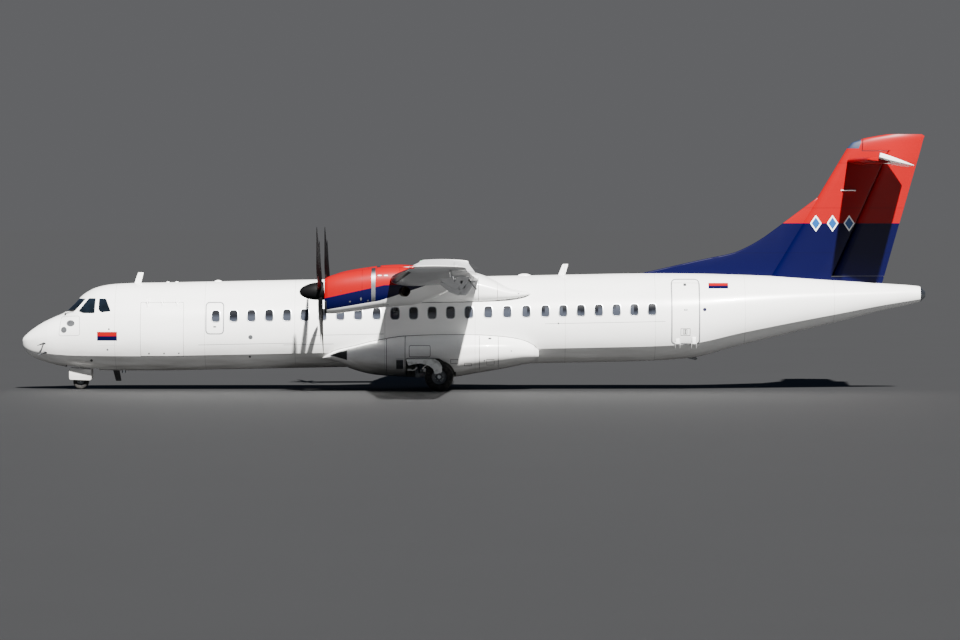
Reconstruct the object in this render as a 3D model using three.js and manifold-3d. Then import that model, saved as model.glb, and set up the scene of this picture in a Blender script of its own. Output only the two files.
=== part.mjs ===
// A twin-engined turboprop airliner with a high wing, a T-tail and six-bladed propellers,
// parked on its wheels. Millimetres, +Z up, the nose towards -X, the left wing towards -Y.
// Inside the file x runs aft from the nose tip, and z up from the ground. The last lines
// shift the whole aircraft so that its origin is on the ground under its middle.
import * as THREE from "three";
import { mergeVertices } from "three/addons/utils/BufferGeometryUtils.js";
import Module from "manifold-3d";

// Driving dimensions
const LENGTH = 27157;
const GAP = 0.4; // between pieces that touch
const SHUT_GAP = 4; // round a door that has no joint
const RUNNING_GAP = 9; // between pieces that move past each other
const GROUND_SLOPE = 0.0193; // the parked fuselage stands a little nose down
const SIDES = [
  [-1, "left"],
  [1, "right"],
];

const FUSELAGE_RADIUS = 1432.5;
const BARREL = { from: 4300, to: 18000, top: 3202 };
const CREASE_DEPTH = 0.617; // where the flatter belly begins, as a share of the depth below the widest line
const CREASE_WIDTH = 0.852; // half width there, as a share of the half width
const BELLY_ANGLE = 0.73; // radians from the crease to the keel, seen from the belly arc's centre
const SECTION_STEPS = { top: 7, side: 3, belly: 3 }; // straight steps in each arc of half a section

const barrelTop = (x) => BARREL.top + GROUND_SLOPE * (x - BARREL.from);
const barrelRow = (x) => {
  const middle = barrelTop(x) - FUSELAGE_RADIUS;
  return [x, barrelTop(x), middle, middle - 1215, FUSELAGE_RADIUS];
};
// Fuselage stations: x, top, widest height, bottom, half width
const FUSELAGE = [
  [0, 1455, 1430, 1405, 30],
  [40, 1548, 1438, 1218, 175],
  [150, 1663, 1453, 1083, 330],
  [350, 1822, 1472, 947, 500],
  [600, 1983, 1505, 850, 665],
  [1000, 2178, 1583, 733, 860],
  [1250, 2287, 1632, 677, 950],
  [1550, 2556, 1670, 625, 1045],
  [1880, 2870, 1713, 593, 1130],
  [2270, 3063, 1741, 569, 1215],
  [2750, 3151, 1749, 558, 1300],
  [3450, 3186, 1752, 555, 1390],
  barrelRow(BARREL.from),
  barrelRow(BARREL.to),
  [19300, 3478, 2058, 868, 1425],
  [20150, 3471, 2123, 943, 1385],
  [21550, 3435, 2330, 1305, 1240],
  [23000, 3372, 2522, 1655, 1035],
  [24490, 3271, 2674, 2011, 790],
  [25860, 3173, 2786, 2358, 545],
  [26900, 3098, 2846, 2590, 330],
  [27080, 3050, 2845, 2640, 255],
  [LENGTH, 2929, 2844, 2759, 110],
];
// Extra stations where the shape turns fastest
const FUSELAGE_BETWEEN = [1400, 1700, 2070, 3100, 18650, 20800, 22250, 23700];
const FUSELAGE_CUTS = { radome: 800, front: 8800, centre: 15430, rear: 26950 };

const WING = {
  kink: 4600,
  tip: 13525,
  incidence: 0.6, // degrees, against the ground
  camber: 0.02,
};
// Wing stations: y, leading edge x, chord, height of the leading edge, thickness as a share of the chord
const WING_STATIONS = [
  [0, 11150, 2570, 3345, 0.18],
  [WING.kink, 11150, 2570, 3345, 0.18],
  [13440, 11790, 1600, 3687, 0.13],
  [13500, 11830, 1545, 3690, 0.1],
  [WING.tip, 11900, 1400, 3694, 0.06],
];
const FLAP = { hinge: 0.77, inner: [1640, 4560], outer: [4650, 9870], endGap: 20 };
const BRACKETS = {
  inner: [2500], // y of each bracket under the inner flap
  outer: [5600, 8900],
  halfWidth: 36,
  drop: 430, // from the wing's middle line down to the flap's pivot, at the root
  noseRadius: 88, // of the fixed half's round end
  clearRadius: 100, // of the hollow front of the moving half
  lug: 10,
  lugGap: 13,
};
const AILERON = { hinge: 0.74, span: [9910, 13380] };

const FIN_STATIONS = [
  // z, leading edge x, chord, thickness
  [2920, 22220, 3570, 0.12],
  [7242, 24810, 2215, 0.1],
  [7401, 24950, 2115, 0.09],
  [7530, 25290, 1810, 0.08],
  [7607, 25700, 1430, 0.06],
  [7660, 26050, 1000, 0.04],
];
// Rudder: height and x of its hinge line's two ends, then its foot's gap, and its horn's foot, front and gap
const RUDDER = {
  bottom: [3400, 24500],
  top: [7356, 26204],
  footGap: 46,
  hornZ: 7170,
  hornFront: 25260,
  hornLean: 60,
  hornGap: 22,
};
const DORSAL = {
  halfThickness: 45,
  end: 24000, // inside the fin
  foot: 3100, // inside the fuselage
  curve: [
    [18670, 3491],
    [20390, 3881],
    [21290, 4070],
    [21740, 4242],
    [22190, 4491],
    [22640, 4807],
    [23930, 5767],
  ], // x and z along its upper edge
};
const TAILPLANE = {
  z: 6855,
  tip: 3655,
  hingeX: 25930,
  elevatorFrom: 170,
  coveGap: 15,
  cutout: 0.62, // the elevators' inner ends slope away from the rudder, y against x
  hornFrom: 3250,
  hornFront: 25500,
  droop: 16, // degrees that the parked elevators hang down, on their stop
};
const ELEVATOR_ROOM = 70; // the fin carries the tailplane as far back as this ahead of the elevators' hinge
// Tailplane stations: y, leading edge x, chord, thickness
const TAILPLANE_STATIONS = [
  [0, 24800, 1820, 0.12],
  [3600, 25140, 1420, 0.11],
  [3655, 25230, 1300, 0.06],
];

const ENGINE_Y = 4050;
// Propeller: its plane's x, its axis height there, and x of its hub's front and rear from that plane
const PROPELLER = {
  x: 9070,
  z: 2992,
  radius: 1965,
  blades: 6,
  phase: 20, // degrees that the blades are parked at
  tilt: 2.5, // degrees
  hubRadius: 262,
  hubFlare: 8,
  hub: [-90, 122],
};
const SPINNER = { tip: 8463, radius: 260, steps: 8, power: 1.6 };
const TURN_SIDES = 24;
// Nacelle stations: x, top, bottom, half width
const NACELLE = [
  [9212, 3352, 2343, 335],
  [9300, 3408, 2328, 385],
  [9550, 3491, 2336, 430],
  [9830, 3551, 2365, 460],
  [10320, 3627, 2428, 490],
  [10810, 3689, 2499, 500],
  [11300, 3709, 2547, 500],
  [11820, 3674, 2589, 480],
  [12300, 3581, 2741, 410],
  [12740, 3399, 2939, 270],
  [12990, 3247, 3097, 90],
];
const NACELLE_CORNER = 2.5; // exponent of its rounded section
const ENGINE = { from: 9650, to: 11090, halfWidth: 300, bottom: 2600, top: 3300, clearance: 10 };
// Intake duct: x, top, bottom, half width
const INTAKE = [
  [9100, 2566, 2390, 250],
  [9720, 2626, 2440, 190],
];
// Exhaust: where it leaves the nacelle's middle, and how far out its wall and its bore begin and end
const EXHAUST = { x: 11230, z: 2985, radius: 150, wall: 12, sweep: 35, from: 250, to: 640, bore: 400 };

// Wing-root fairing: x, bottom, top, half width
const WING_FAIRING = [
  [10150, 2743, 3193, 950],
  [10700, 2510, 3420, 1300],
  [11200, 2437, 3652, 1420],
  [12000, 2433, 3688, 1450],
  [12900, 2448, 3643, 1450],
  [13700, 2493, 3473, 1425],
  [14200, 2550, 3290, 1410],
  [14700, 2650, 3060, 1370],
  [15080, 2745, 2985, 1300],
  [15230, 2810, 2940, 1220],
  [15290, 2850, 2900, 1120],
];
// Main gear fairing under the belly: x, top, bottom, half width
const GEAR_FAIRING = [
  [9050, 1029, 899, 1060],
  [9390, 1267, 827, 1360],
  [9985, 1444, 584, 1600],
  [10650, 1630, 430, 1760],
  [11565, 1775, 370, 1860],
  [12750, 1819, 354, 1870],
  [13740, 1793, 496, 1850],
  [14480, 1739, 619, 1760],
  [14980, 1656, 721, 1640],
  [15370, 1474, 794, 1460],
  [15520, 1293, 863, 1260],
];
// The bay takes the folded wheels. Beyond archFrom its rear follows the wheels' arch.
const GEAR_BAY = { from: 11560, to: 13050, keel: 330, archFrom: 1450, side: 2400, floor: 200, roof: 960 };
const WHEEL_ARCH = { radius: 470, turn: 75, steps: 5 }; // degrees up from level that it follows the wheels

const WHEEL_SIDES = 20;
const FLAT_SHARE = Math.cos(Math.PI / WHEEL_SIDES); // a wheel stands on one of its flats, not on a corner
const AXLE_SHARE = 0.28; // radius of an axle, as a share of its rim's
const AXLE_GAP = 8;
const MAIN_GEAR = {
  x: 12555,
  track: 2050,
  tyreRadius: 431,
  tyreHalfWidth: 127,
  halfSpacing: 200,
  rimRadius: 215,
};
// Main leg, for the right side, x from the axle: a root block under the bay's roof, a leg out to the knee
// and a shock strut down to the trailing arm
const MAIN_LEG = {
  root: { halfLength: 160, y: [1120, 1330], bottom: 760, x: -640 },
  leg: { from: [-640, 1250, 830], to: [-640, 2050, 470], radii: [85, 75], sides: 14 },
  knee: { from: [-640, 1955, 470], to: [-640, 2145, 470], radii: [80, 80], sides: 14 },
  strut: { from: [-580, 1450, 860], to: [-510, 2050, 600], radii: [55, 42], sides: 12 },
};
const TRAILING_ARM = { halfWidth: 50, collar: 36, sides: 18 };
// Trailing arm outline: x from the axle, z, whether z is from the axle's height, and which way it grows
const ARM_OUTLINE = [
  [-580, 408, false, -1],
  [0, -70, true, -1],
  [0, 75, true, 1],
  [-240, 130, true, 1],
  [-580, 545, false, 1],
];
// The door fixed to the main leg arches over the wheels: x and z
const LEG_DOOR = [
  [11575, 955],
  [12430, 955],
  [12560, 880],
  [12640, 740],
  [12640, 560],
  [12420, 500],
  [12380, 660],
  [12250, 760],
  [12000, 830],
  [11800, 800],
  [11640, 760],
];
const LEG_DOOR_Y = [2420, 2438];
const LEG_DOOR_ARM = { x: 11900, z: 900, y: [2080, 2425], radius: 22 };

const NOSE_GEAR = { x: 1766, tyreRadius: 225, tyreHalfWidth: 95, halfSpacing: 180, rimRadius: 95 };
const NOSE_BAY = { from: 1330, to: 2330, halfWidth: 375, floor: 300, roof: 1080 };
const NOSE_LEG = { foot: 520, radius: 62, headHalfLength: 120, headHalfWidth: 150, headDepth: 80 };
const NOSE_FORK = { pistonRadius: 42, collarRadius: 56, collarHalfWidth: 60, linkHalfWidth: 18 };
const TOWING_LUG = { front: 130, back: 40, half: 28 };
const TORQUE_LINK = [
  [30, 290],
  [150, 370],
  [60, 480],
  [30, 480],
]; // x from the leg, and z
const DRAG_BRACE = { foot: [72, 640], radius: 26, lugLength: 110, lugHalfWidth: 110, lugDepth: 70, end: 20 };
const NOSE_DOOR = { from: 1435, to: 2100, top: 640, bottom: 270, y: 400, halfThickness: 9 };

const CABIN = { end: 21200, wall: 250 }; // the rear section is a thick tube as far as its rear bulkhead
const DOOR_TOE = { y: 1075, z: [1000, 1520] }; // the passenger door's foot is cut back
const DOOR_DEPTH = 110; // thickness of a cabin door
const DOORWAY_DEPTH = 60; // how far the dark doorway goes in behind it
const DOORWAY_PROUD = 30; // the doorway's cut stands this far proud of the skin
// Cabin doors: name, side, front x, rear x, sill, top, then y and z of the hinge, if it swings
const DOORS = [
  ["passenger_door", -1, 19510, 20300, 1405, 3280, -1275, 1393],
  ["cargo_door", -1, 3640, 4915, 960, 2614, -1180, 2629],
  ["service_door", 1, 19560, 20210, 1405, 2639],
  ["exit_left", -1, 5610, 6100, 1700, 2600],
  ["exit_right", 1, 5610, 6100, 1700, 2600],
];
const DOOR_REACH = { passenger_door: 1850, cargo_door: 1606 }; // from the hinge to the door's far edge
const DOOR_ARC_SIDES = 96;
const DOOR_SIDE = [300, 1700]; // y from inside the cabin to outside the skin

// Blade aerials: fuselage section, front x, rear x, root height, tip height, sweep
const AERIALS = [
  ["front", 3360, 3560, 3140, 3505, 90],
  ["front", 2700, 2900, 674, 240, 80],
  ["rear", 16100, 16310, 3380, 3755, 110],
];
const AERIAL_HALF_THICKNESS = 12;
const JACKING_PAD = { x: 3050, radius: 60, bottom: 487, top: 637 };

// Cockpit windows, as side outlines of x and z. The first wraps round the front to the centre post.
const COCKPIT_WINDOWS = [
  [[1150, 2330], [1630, 2350], [1960, 2726], [1560, 2728]],
  [[1745, 2350], [1890, 2291], [2250, 2291], [2268, 2742], [2055, 2742]],
  [[2365, 2390], [2452, 2315], [2740, 2351], [2582, 2730], [2367, 2730]],
];
const GLASS = {
  inset: 10,
  depth: 70,
  post: 35,
  reach: 125, // from a pane's middle to its nearest edge
  roof: 2790,
  floor: 2230,
  from: 1200,
  to: 2790,
  side: 1600,
};

// Propeller blade: radius, chord, pitch in degrees, sweep, thickness as a share of the chord
const BLADE_STATIONS = [
  [150, 130, 60, 0, 0.3],
  [300, 150, 55, 0, 0.3],
  [520, 200, 42, -8, 0.1],
  [900, 245, 26, -14, 0.1],
  [1350, 240, 15, 4, 0.1],
  [1750, 190, 9, 42, 0.1],
  [PROPELLER.radius, 90, 7, 78, 0.1],
];
const BLADE_AXIS = 0.45; // the blade turns about this share of its chord

function paint(color, roughness = 0.35, metalness = 0) {
  return new THREE.MeshStandardMaterial({ color, roughness, metalness });
}
const MATERIALS = {
  white: paint(0xeceef0),
  red: paint(0xe23a3c),
  blue: paint(0x0a1c6e),
  grey: paint(0x8f959b),
  dark: paint(0x17181b, 0.5),
  rubber: paint(0x1c1c1d, 0.85),
  glass: paint(0x1a2026, 0.08),
  metal: paint(0xa9adb2, 0.35, 0.9),
};

const wasm = await Module();
wasm.setup();
const aircraft = new THREE.Group();

// A closed geometry as a solid that can be joined and cut
function toSolid(geometry) {
  const flat = geometry.index ? geometry.toNonIndexed() : geometry;
  const bare = new THREE.BufferGeometry().setAttribute("position", flat.getAttribute("position"));
  const merged = mergeVertices(bare, 1e-3);
  const triVerts = new Uint32Array(merged.index.array);
  return new wasm.Manifold(
    new wasm.Mesh({ numProp: 3, vertProperties: merged.attributes.position.array, triVerts }),
  );
}

function toGeometry(solid) {
  const { vertProperties, triVerts } = solid.getMesh();
  return new THREE.BufferGeometry()
    .setAttribute("position", new THREE.BufferAttribute(vertProperties, 3))
    .setIndex(new THREE.BufferAttribute(triVerts, 1));
}

const join = (...solids) => solids.reduce((whole, next) => whole.add(next));
const cut = (solid, ...tools) => tools.reduce((rest, tool) => rest.subtract(tool), solid);

function add(name, shape, material, parent = aircraft) {
  const mesh = new THREE.Mesh(shape.getMesh ? toGeometry(shape) : shape, material);
  mesh.name = name;
  parent.add(mesh);
  return mesh;
}

function box(x0, x1, y0, y1, z0, z1) {
  const geometry = new THREE.BoxGeometry(x1 - x0, y1 - y0, z1 - z0);
  return toSolid(geometry.translate((x0 + x1) / 2, (y0 + y1) / 2, (z0 + z1) / 2));
}

// A round bar between two points, with its own radius at each end
function bar(from, to, radius, endRadius = radius, sides = 12) {
  const [a, b] = [new THREE.Vector3(...from), new THREE.Vector3(...to)];
  const geometry = new THREE.CylinderGeometry(endRadius, radius, a.distanceTo(b), sides);
  const turn = new THREE.Quaternion().setFromUnitVectors(
    new THREE.Vector3(0, 1, 0),
    b.clone().sub(a).normalize(),
  );
  geometry.applyQuaternion(turn).translate(...a.add(b).multiplyScalar(0.5).toArray());
  return toSolid(geometry);
}

// A flat outline of x and z points, given its thickness along y
function plate(outline, y0, y1) {
  const shape = new THREE.Shape(outline.map(([x, z]) => new THREE.Vector2(x, z)));
  const geometry = new THREE.ExtrudeGeometry(shape, { depth: y1 - y0, bevelEnabled: false });
  return toSolid(geometry.rotateX(Math.PI / 2).translate(0, y1, 0));
}

// A closed skin through rings of points, with a fan over each end
function loft(rings) {
  const count = rings[0].length;
  const points = rings.flat();
  const faces = [];
  for (let ring = 0; ring < rings.length - 1; ring++) {
    for (let i = 0; i < count; i++) {
      const [a, b] = [ring * count + i, ring * count + ((i + 1) % count)];
      faces.push(a, b, b + count, a, b + count, a + count);
    }
  }
  for (const [start, turned] of [[0, true], [(rings.length - 1) * count, false]]) {
    const centre = new THREE.Vector3();
    for (let i = 0; i < count; i++) centre.addScaledVector(points[start + i], 1 / count);
    points.push(centre);
    for (let i = 0; i < count; i++) {
      const [a, b] = [start + i, start + ((i + 1) % count)];
      faces.push(...(turned ? [b, a] : [a, b]), points.length - 1);
    }
  }
  let volume = 0;
  for (let i = 0; i < faces.length; i += 3) {
    const [a, b, c] = [points[faces[i]], points[faces[i + 1]], points[faces[i + 2]]];
    volume += a.dot(b.clone().cross(c));
  }
  const geometry = new THREE.BufferGeometry().setFromPoints(points);
  geometry.setIndex(volume > 0 ? faces : faces.reverse());
  return toSolid(geometry);
}

// Values of a table's columns at x, on a smooth line through its rows that never overshoots them
function tableAt(table, x, warp = (value) => value) {
  const keys = table.map((row) => warp(row[0]));
  const key = warp(x);
  const last = table.length - 1;
  const i = Math.min(Math.max(keys.findIndex((value) => value > key) - 1, 0), last - 1);
  const k = key >= keys[last] ? last - 1 : i;
  const slopeBetween = (j, column) => (table[j + 1][column] - table[j][column]) / (keys[j + 1] - keys[j]);
  const slopeAt = (j, column) => {
    if (j === 0) return slopeBetween(0, column);
    if (j === last) return slopeBetween(last - 1, column);
    const [before, after] = [slopeBetween(j - 1, column), slopeBetween(j, column)];
    return before * after <= 0 ? 0 : (2 * before * after) / (before + after);
  };
  const span = keys[k + 1] - keys[k];
  const t = Math.min(Math.max((key - keys[k]) / span, 0), 1);
  return table[0].map((_, column) => {
    if (column === 0) return x;
    const [a, b] = [table[k][column], table[k + 1][column]];
    const [slopeA, slopeB] = [slopeAt(k, column) * span, slopeAt(k + 1, column) * span];
    const share = 3 * t ** 2 - 2 * t ** 3;
    return a * (1 - share) + b * share + slopeA * t * (1 - t) ** 2 - slopeB * t ** 2 * (1 - t);
  });
}

// Fuselage section at x: round above, then a crease and a flatter belly. A positive grow moves it out.
function fuselageRing(x, grow) {
  const inBarrel = x >= BARREL.from && x <= BARREL.to;
  const [, top, middle, bottom, halfWidth] = inBarrel ? barrelRow(x) : tableAt(FUSELAGE, x, Math.sqrt);
  const w = Math.max(halfWidth + grow, 1);
  const up = Math.max(top - middle + grow, 1);
  const down = Math.max(middle - bottom + grow, 1);
  const sideDepth = (CREASE_DEPTH * down) / Math.sqrt(1 - CREASE_WIDTH ** 2);
  const sideAngle = Math.acos(CREASE_WIDTH);
  const half = [];
  for (let i = 0; i < SECTION_STEPS.top; i++) {
    const angle = (Math.PI / 2) * (1 - i / SECTION_STEPS.top);
    half.push([w * Math.cos(angle), middle + up * Math.sin(angle)]);
  }
  for (let i = 0; i < SECTION_STEPS.side; i++) {
    const angle = (sideAngle * i) / SECTION_STEPS.side;
    half.push([w * Math.cos(angle), middle - sideDepth * Math.sin(angle)]);
  }
  for (let i = 0; i <= SECTION_STEPS.belly; i++) {
    const angle = BELLY_ANGLE * (1 - i / SECTION_STEPS.belly);
    const rise = (Math.cos(angle) - Math.cos(BELLY_ANGLE)) / (1 - Math.cos(BELLY_ANGLE));
    const y = (CREASE_WIDTH * w * Math.sin(angle)) / Math.sin(BELLY_ANGLE);
    half.push([y, middle - down * (CREASE_DEPTH + (1 - CREASE_DEPTH) * rise)]);
  }
  const other = half.slice(1, -1).reverse().map(([y, z]) => [-y, z]);
  return [...half, ...other].map(([y, z]) => new THREE.Vector3(x, y, z));
}

const LEAST_STEP = 30; // between a cut and the next station
function fuselagePart(from, to, grow = 0) {
  const stations = [...FUSELAGE.map((row) => row[0]), ...FUSELAGE_BETWEEN].sort((a, b) => a - b);
  const inside = stations.filter((x) => x > from + LEAST_STEP && x < to - LEAST_STEP);
  return loft([from, ...inside, to].map((x) => fuselageRing(x, grow)));
}

// A rounded-rectangle ring, from a table of x, top, bottom and half width
function roundedRing(table, x, power, steps, y0 = 0, grow = 0) {
  const [, a, b, halfWidth] = tableAt(table, x);
  const [middle, halfHeight] = [(a + b) / 2, Math.abs(a - b) / 2 + grow];
  const ring = [];
  for (let i = 0; i < steps; i++) {
    const angle = (2 * Math.PI * i) / steps;
    const [c, s] = [Math.cos(angle), Math.sin(angle)];
    const y = Math.sign(c) * Math.abs(c) ** (2 / power) * (halfWidth + grow);
    const z = Math.sign(s) * Math.abs(s) ** (2 / power) * halfHeight;
    ring.push(new THREE.Vector3(x, y0 + y, middle + z));
  }
  return ring;
}

const roundedLoft = (table, power, steps, y0, grow) =>
  loft(table.map((row) => roundedRing(table, row[0], power, steps, y0, grow)));

// Aerofoil: half thickness and camber height at a share u of the chord, both as shares of the chord
const EDGE_THICKNESS = 0.0025;
function halfThickness(u, t) {
  const bulge = 0.2969 * Math.sqrt(u) - 0.126 * u - 0.3516 * u ** 2 + 0.2843 * u ** 3 - 0.1036 * u ** 4;
  return 5 * t * bulge + EDGE_THICKNESS * u;
}
const camberHeight = (u, camber) => 4 * camber * u * (1 - u);

// Outline of the whole section, as pairs of chord share and height
function wholeOutline(t, camber, steps = 9) {
  const upper = [];
  const lower = [];
  for (let i = 0; i <= steps; i++) {
    const u = (1 - Math.cos((Math.PI * i) / steps)) / 2;
    upper.push([u, camberHeight(u, camber) + halfThickness(u, t)]);
    lower.push([u, camberHeight(u, camber) - halfThickness(u, t)]);
  }
  return [...upper.reverse(), ...lower.slice(1)];
}

// Outline of a moving surface behind its hinge, with a round nose about the hinge
const NOSE_STEPS = 6;
function movingOutline(t, camber, hinge, steps = 3) {
  const radius = halfThickness(hinge, t);
  const middle = camberHeight(hinge, camber);
  const points = [];
  for (let i = 0; i <= steps; i++) {
    const u = 1 - ((1 - hinge) * i) / steps;
    points.push([u, camberHeight(u, camber) + halfThickness(u, t)]);
  }
  for (let i = 1; i < NOSE_STEPS; i++) {
    const angle = Math.PI / 2 + (Math.PI * i) / NOSE_STEPS;
    points.push([hinge + radius * Math.cos(angle), middle + radius * Math.sin(angle)]);
  }
  for (let i = 0; i <= steps; i++) {
    const u = hinge + ((1 - hinge) * i) / steps;
    points.push([u, camberHeight(u, camber) - halfThickness(u, t)]);
  }
  return points;
}

// A chord share and height placed on a wing station, or on a fin station where the section lies flat
function onWing(station, u, w, incidence = 0) {
  const [y, x, chord, z] = station;
  const a = THREE.MathUtils.degToRad(incidence);
  return new THREE.Vector3(
    x + chord * (u * Math.cos(a) + w * Math.sin(a)),
    y,
    z + chord * (w * Math.cos(a) - u * Math.sin(a)),
  );
}
const onFin = ([z, x, chord], u, w) => new THREE.Vector3(x + chord * u, chord * w, z);

// Linear station at a place along the span
function stationAt(stations, place) {
  const k = Math.max(stations.findIndex((row) => row[0] >= place), 1);
  const [a, b] = [stations[k - 1], stations[k]];
  const t = (place - a[0]) / (b[0] - a[0]);
  return a.map((value, column) => value + (b[column] - value) * t);
}

const mirrored = (solid, side) => (side < 0 ? solid.mirror([0, 1, 0]) : solid);
// A box about y = 0, given its half width
const boxAbout = (x0, x1, half, z0, z1) => box(x0, x1, -half, half, z0, z1);

// The outline of a whole section on its station, moved out all round
const GROW = { middle: 0.4, along: 2.5 }; // it grows along the chord about this share, and this much more
function grownOutline(place, station, thickness, grow, camber = 0) {
  return wholeOutline(thickness, camber).map(([u, w]) => {
    const lift = grow / station[2];
    return place(station, u + (u - GROW.middle) * lift * GROW.along, w + Math.sign(w) * lift);
  });
}

// Everything behind a share of the chord, between two places along the span
const COVE = { back: 1.15, half: 0.35 }; // shares of the chord
function cove(place, stations, from, to, shareAt, grow = 0) {
  const rings = [from - grow, to + grow].map((along) => {
    const station = stationAt(stations, along);
    const u = shareAt(along);
    const corners = [[u, COVE.half], [COVE.back, COVE.half], [COVE.back, -COVE.half], [u, -COVE.half]];
    return corners.map(([a, b]) => place(station, a, b));
  });
  return loft(rings);
}

// A moving surface between two places along the span
function movingSurface(place, stations, span, thicknessColumn, camber, shareAt) {
  const rings = span.map((along) => {
    const station = stationAt(stations, along);
    const outline = movingOutline(station[thicknessColumn], camber, shareAt(along));
    return outline.map(([u, w]) => place(station, u, w));
  });
  return loft(rings);
}

const wingStation = (y) => stationAt(WING_STATIONS, y);
const placeWing = (station, u, w) => onWing(station, u, w, WING.incidence);
const wingLoft = (stations, grow = 0) =>
  loft(stations.map((station) => grownOutline(placeWing, station, station[4], grow, WING.camber)));
const centreRows = (end) => [-end, end].map((y) => [y, ...wingStation(WING.kink).slice(1)]);

// The wing's middle, grown, for cutting what it passes through
const wingTool = () => wingLoft(centreRows(WING.kink), GAP * 2);

function wingParts() {
  const frontOf = (hinge, y) => {
    const [, , chord, , t] = wingStation(y);
    return hinge - halfThickness(hinge, t) - RUNNING_GAP / chord;
  };
  const wingCove = ([from, to], hinge, gap) =>
    cove(placeWing, WING_STATIONS, from, to, (y) => frontOf(hinge, y), gap);
  const surface = (span, hinge) =>
    movingSurface(placeWing, WING_STATIONS, span, 4, WING.camber, () => hinge);
  const innerCove = wingCove(FLAP.inner, FLAP.hinge, FLAP.endGap);
  const centre = cut(wingLoft(centreRows(WING.kink - GAP)), innerCove, mirrored(innerCove, -1));
  const outerRows = [WING.kink, ...WING_STATIONS.slice(2).map((row) => row[0])];
  const outer = cut(
    wingLoft(outerRows.map(wingStation)),
    wingCove(FLAP.outer, FLAP.hinge, FLAP.endGap),
    wingCove(AILERON.span, AILERON.hinge, RUNNING_GAP),
  );
  const innerFixed = BRACKETS.inner.map(bracketFixed);
  const innerBoth = innerFixed.flatMap((part) => [part, mirrored(part, -1)]);
  const outerWing = join(outer, ...BRACKETS.outer.map(bracketFixed));
  const innerFlap = join(surface(FLAP.inner, FLAP.hinge), ...BRACKETS.inner.map(bracketMoving));
  const outerFlap = join(surface(FLAP.outer, FLAP.hinge), ...BRACKETS.outer.map(bracketMoving));
  const aileron = surface(AILERON.span, AILERON.hinge);
  add("wing_centre", join(centre, ...innerBoth), MATERIALS.grey);
  for (const [side, label] of SIDES) {
    add(`wing_${label}`, mirrored(outerWing, side), MATERIALS.grey);
    add(`flap_inner_${label}`, mirrored(innerFlap, side), MATERIALS.grey);
    add(`flap_outer_${label}`, mirrored(outerFlap, side), MATERIALS.grey);
    add(`aileron_${label}`, mirrored(aileron, side), MATERIALS.grey);
  }
}

// A flap bracket at y, in shares of the pivot's drop below the wing: the fixed half ahead of the pivot
// is a fairing with a round end, and the moving half behind it hangs from the flap with a lug on each side
function bracketFrame(y) {
  const station = wingStation(y);
  const size = (BRACKETS.drop * station[2]) / WING_STATIONS[0][2];
  const pivot = placeWing(station, FLAP.hinge, camberHeight(FLAP.hinge, WING.camber) - size / station[2]);
  const at = (a, b) => [pivot.x + a * size, pivot.z + b * size];
  const arc = (radius, start, turn, steps) => {
    const points = [];
    for (let i = 0; i <= steps; i++) {
      const angle = Math.PI * (start + (turn * i) / steps);
      points.push([pivot.x + radius * Math.cos(angle), pivot.z + radius * Math.sin(angle)]);
    }
    return points;
  };
  return { at, arc };
}

function bracketFixed(y) {
  const { at, arc } = bracketFrame(y);
  const end = arc(BRACKETS.noseRadius, -0.62, 1.02, 7);
  const outline = [at(-1.45, 0.85), at(-1.25, 0.55), at(-0.6, 0.02), ...end];
  outline.push(at(-0.3, 0.85), at(-0.9, 1.0), at(-1.4, 1.0));
  return plate(outline, y - BRACKETS.halfWidth, y + BRACKETS.halfWidth);
}

function bracketMoving(y) {
  const { at, arc } = bracketFrame(y);
  const { halfWidth, lug, lugGap, clearRadius } = BRACKETS;
  const front = arc(clearRadius, 0.33, -0.62, 5);
  const outline = [...front, at(0.55, -0.14), at(0.86, 0.3), at(1.17, 0.78), at(0.2, 0.88)];
  const fairing = plate(outline, y - halfWidth, y + halfWidth);
  const lugFoot = [at(-0.15, 0.15), at(-0.15, 0), at(0, -0.15), at(0.2, -0.04)];
  const lugOutline = [...lugFoot, at(0.55, 0.3), at(0.6, 0.88), at(0.16, 0.9)];
  const joinerOutline = [at(0.4, 0.25), at(0.58, 0.25), at(0.58, 0.5), at(0.4, 0.5)];
  const lugs = [-1, 1].map((side) => {
    const face = y + side * (halfWidth - GAP);
    const inside = y + side * (halfWidth + lugGap);
    const outside = inside + side * lug;
    const between = (outlined, a, b) => plate(outlined, Math.min(a, b), Math.max(a, b));
    return join(between(lugOutline, inside, outside), between(joinerOutline, face, outside));
  });
  return join(fairing, ...lugs);
}

function fairings(fuselageTool) {
  const saddle = roundedLoft(WING_FAIRING, 3, 28);
  add("wing_fairing", cut(saddle, fuselageTool, wingTool()), MATERIALS.white);
  const belly = roundedLoft(GEAR_FAIRING, 2.6, 36);
  add("gear_fairing", cut(belly, fuselageTool, gearBay(-1), gearBay(1)), MATERIALS.white);
}

// Room for a folded main gear, which reaches up into the belly of the fuselage
function gearBay(side) {
  const { from, to, keel, archFrom, side: outer, floor, roof } = GEAR_BAY;
  const { x, tyreRadius } = MAIN_GEAR;
  const { radius, turn, steps } = WHEEL_ARCH;
  const arch = [];
  for (let i = 0; i <= steps; i++) {
    const angle = THREE.MathUtils.degToRad((turn * i) / steps);
    arch.push([x + radius * Math.cos(angle), tyreRadius * FLAT_SHARE + radius * Math.sin(angle)]);
  }
  const outline = [[from, floor], [arch[0][0], floor], ...arch, [x, roof], [from, roof]];
  const room = box(from, to, keel, archFrom, floor, roof);
  return mirrored(join(room, plate(outline, archFrom - GAP, outer)), side);
}

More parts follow.
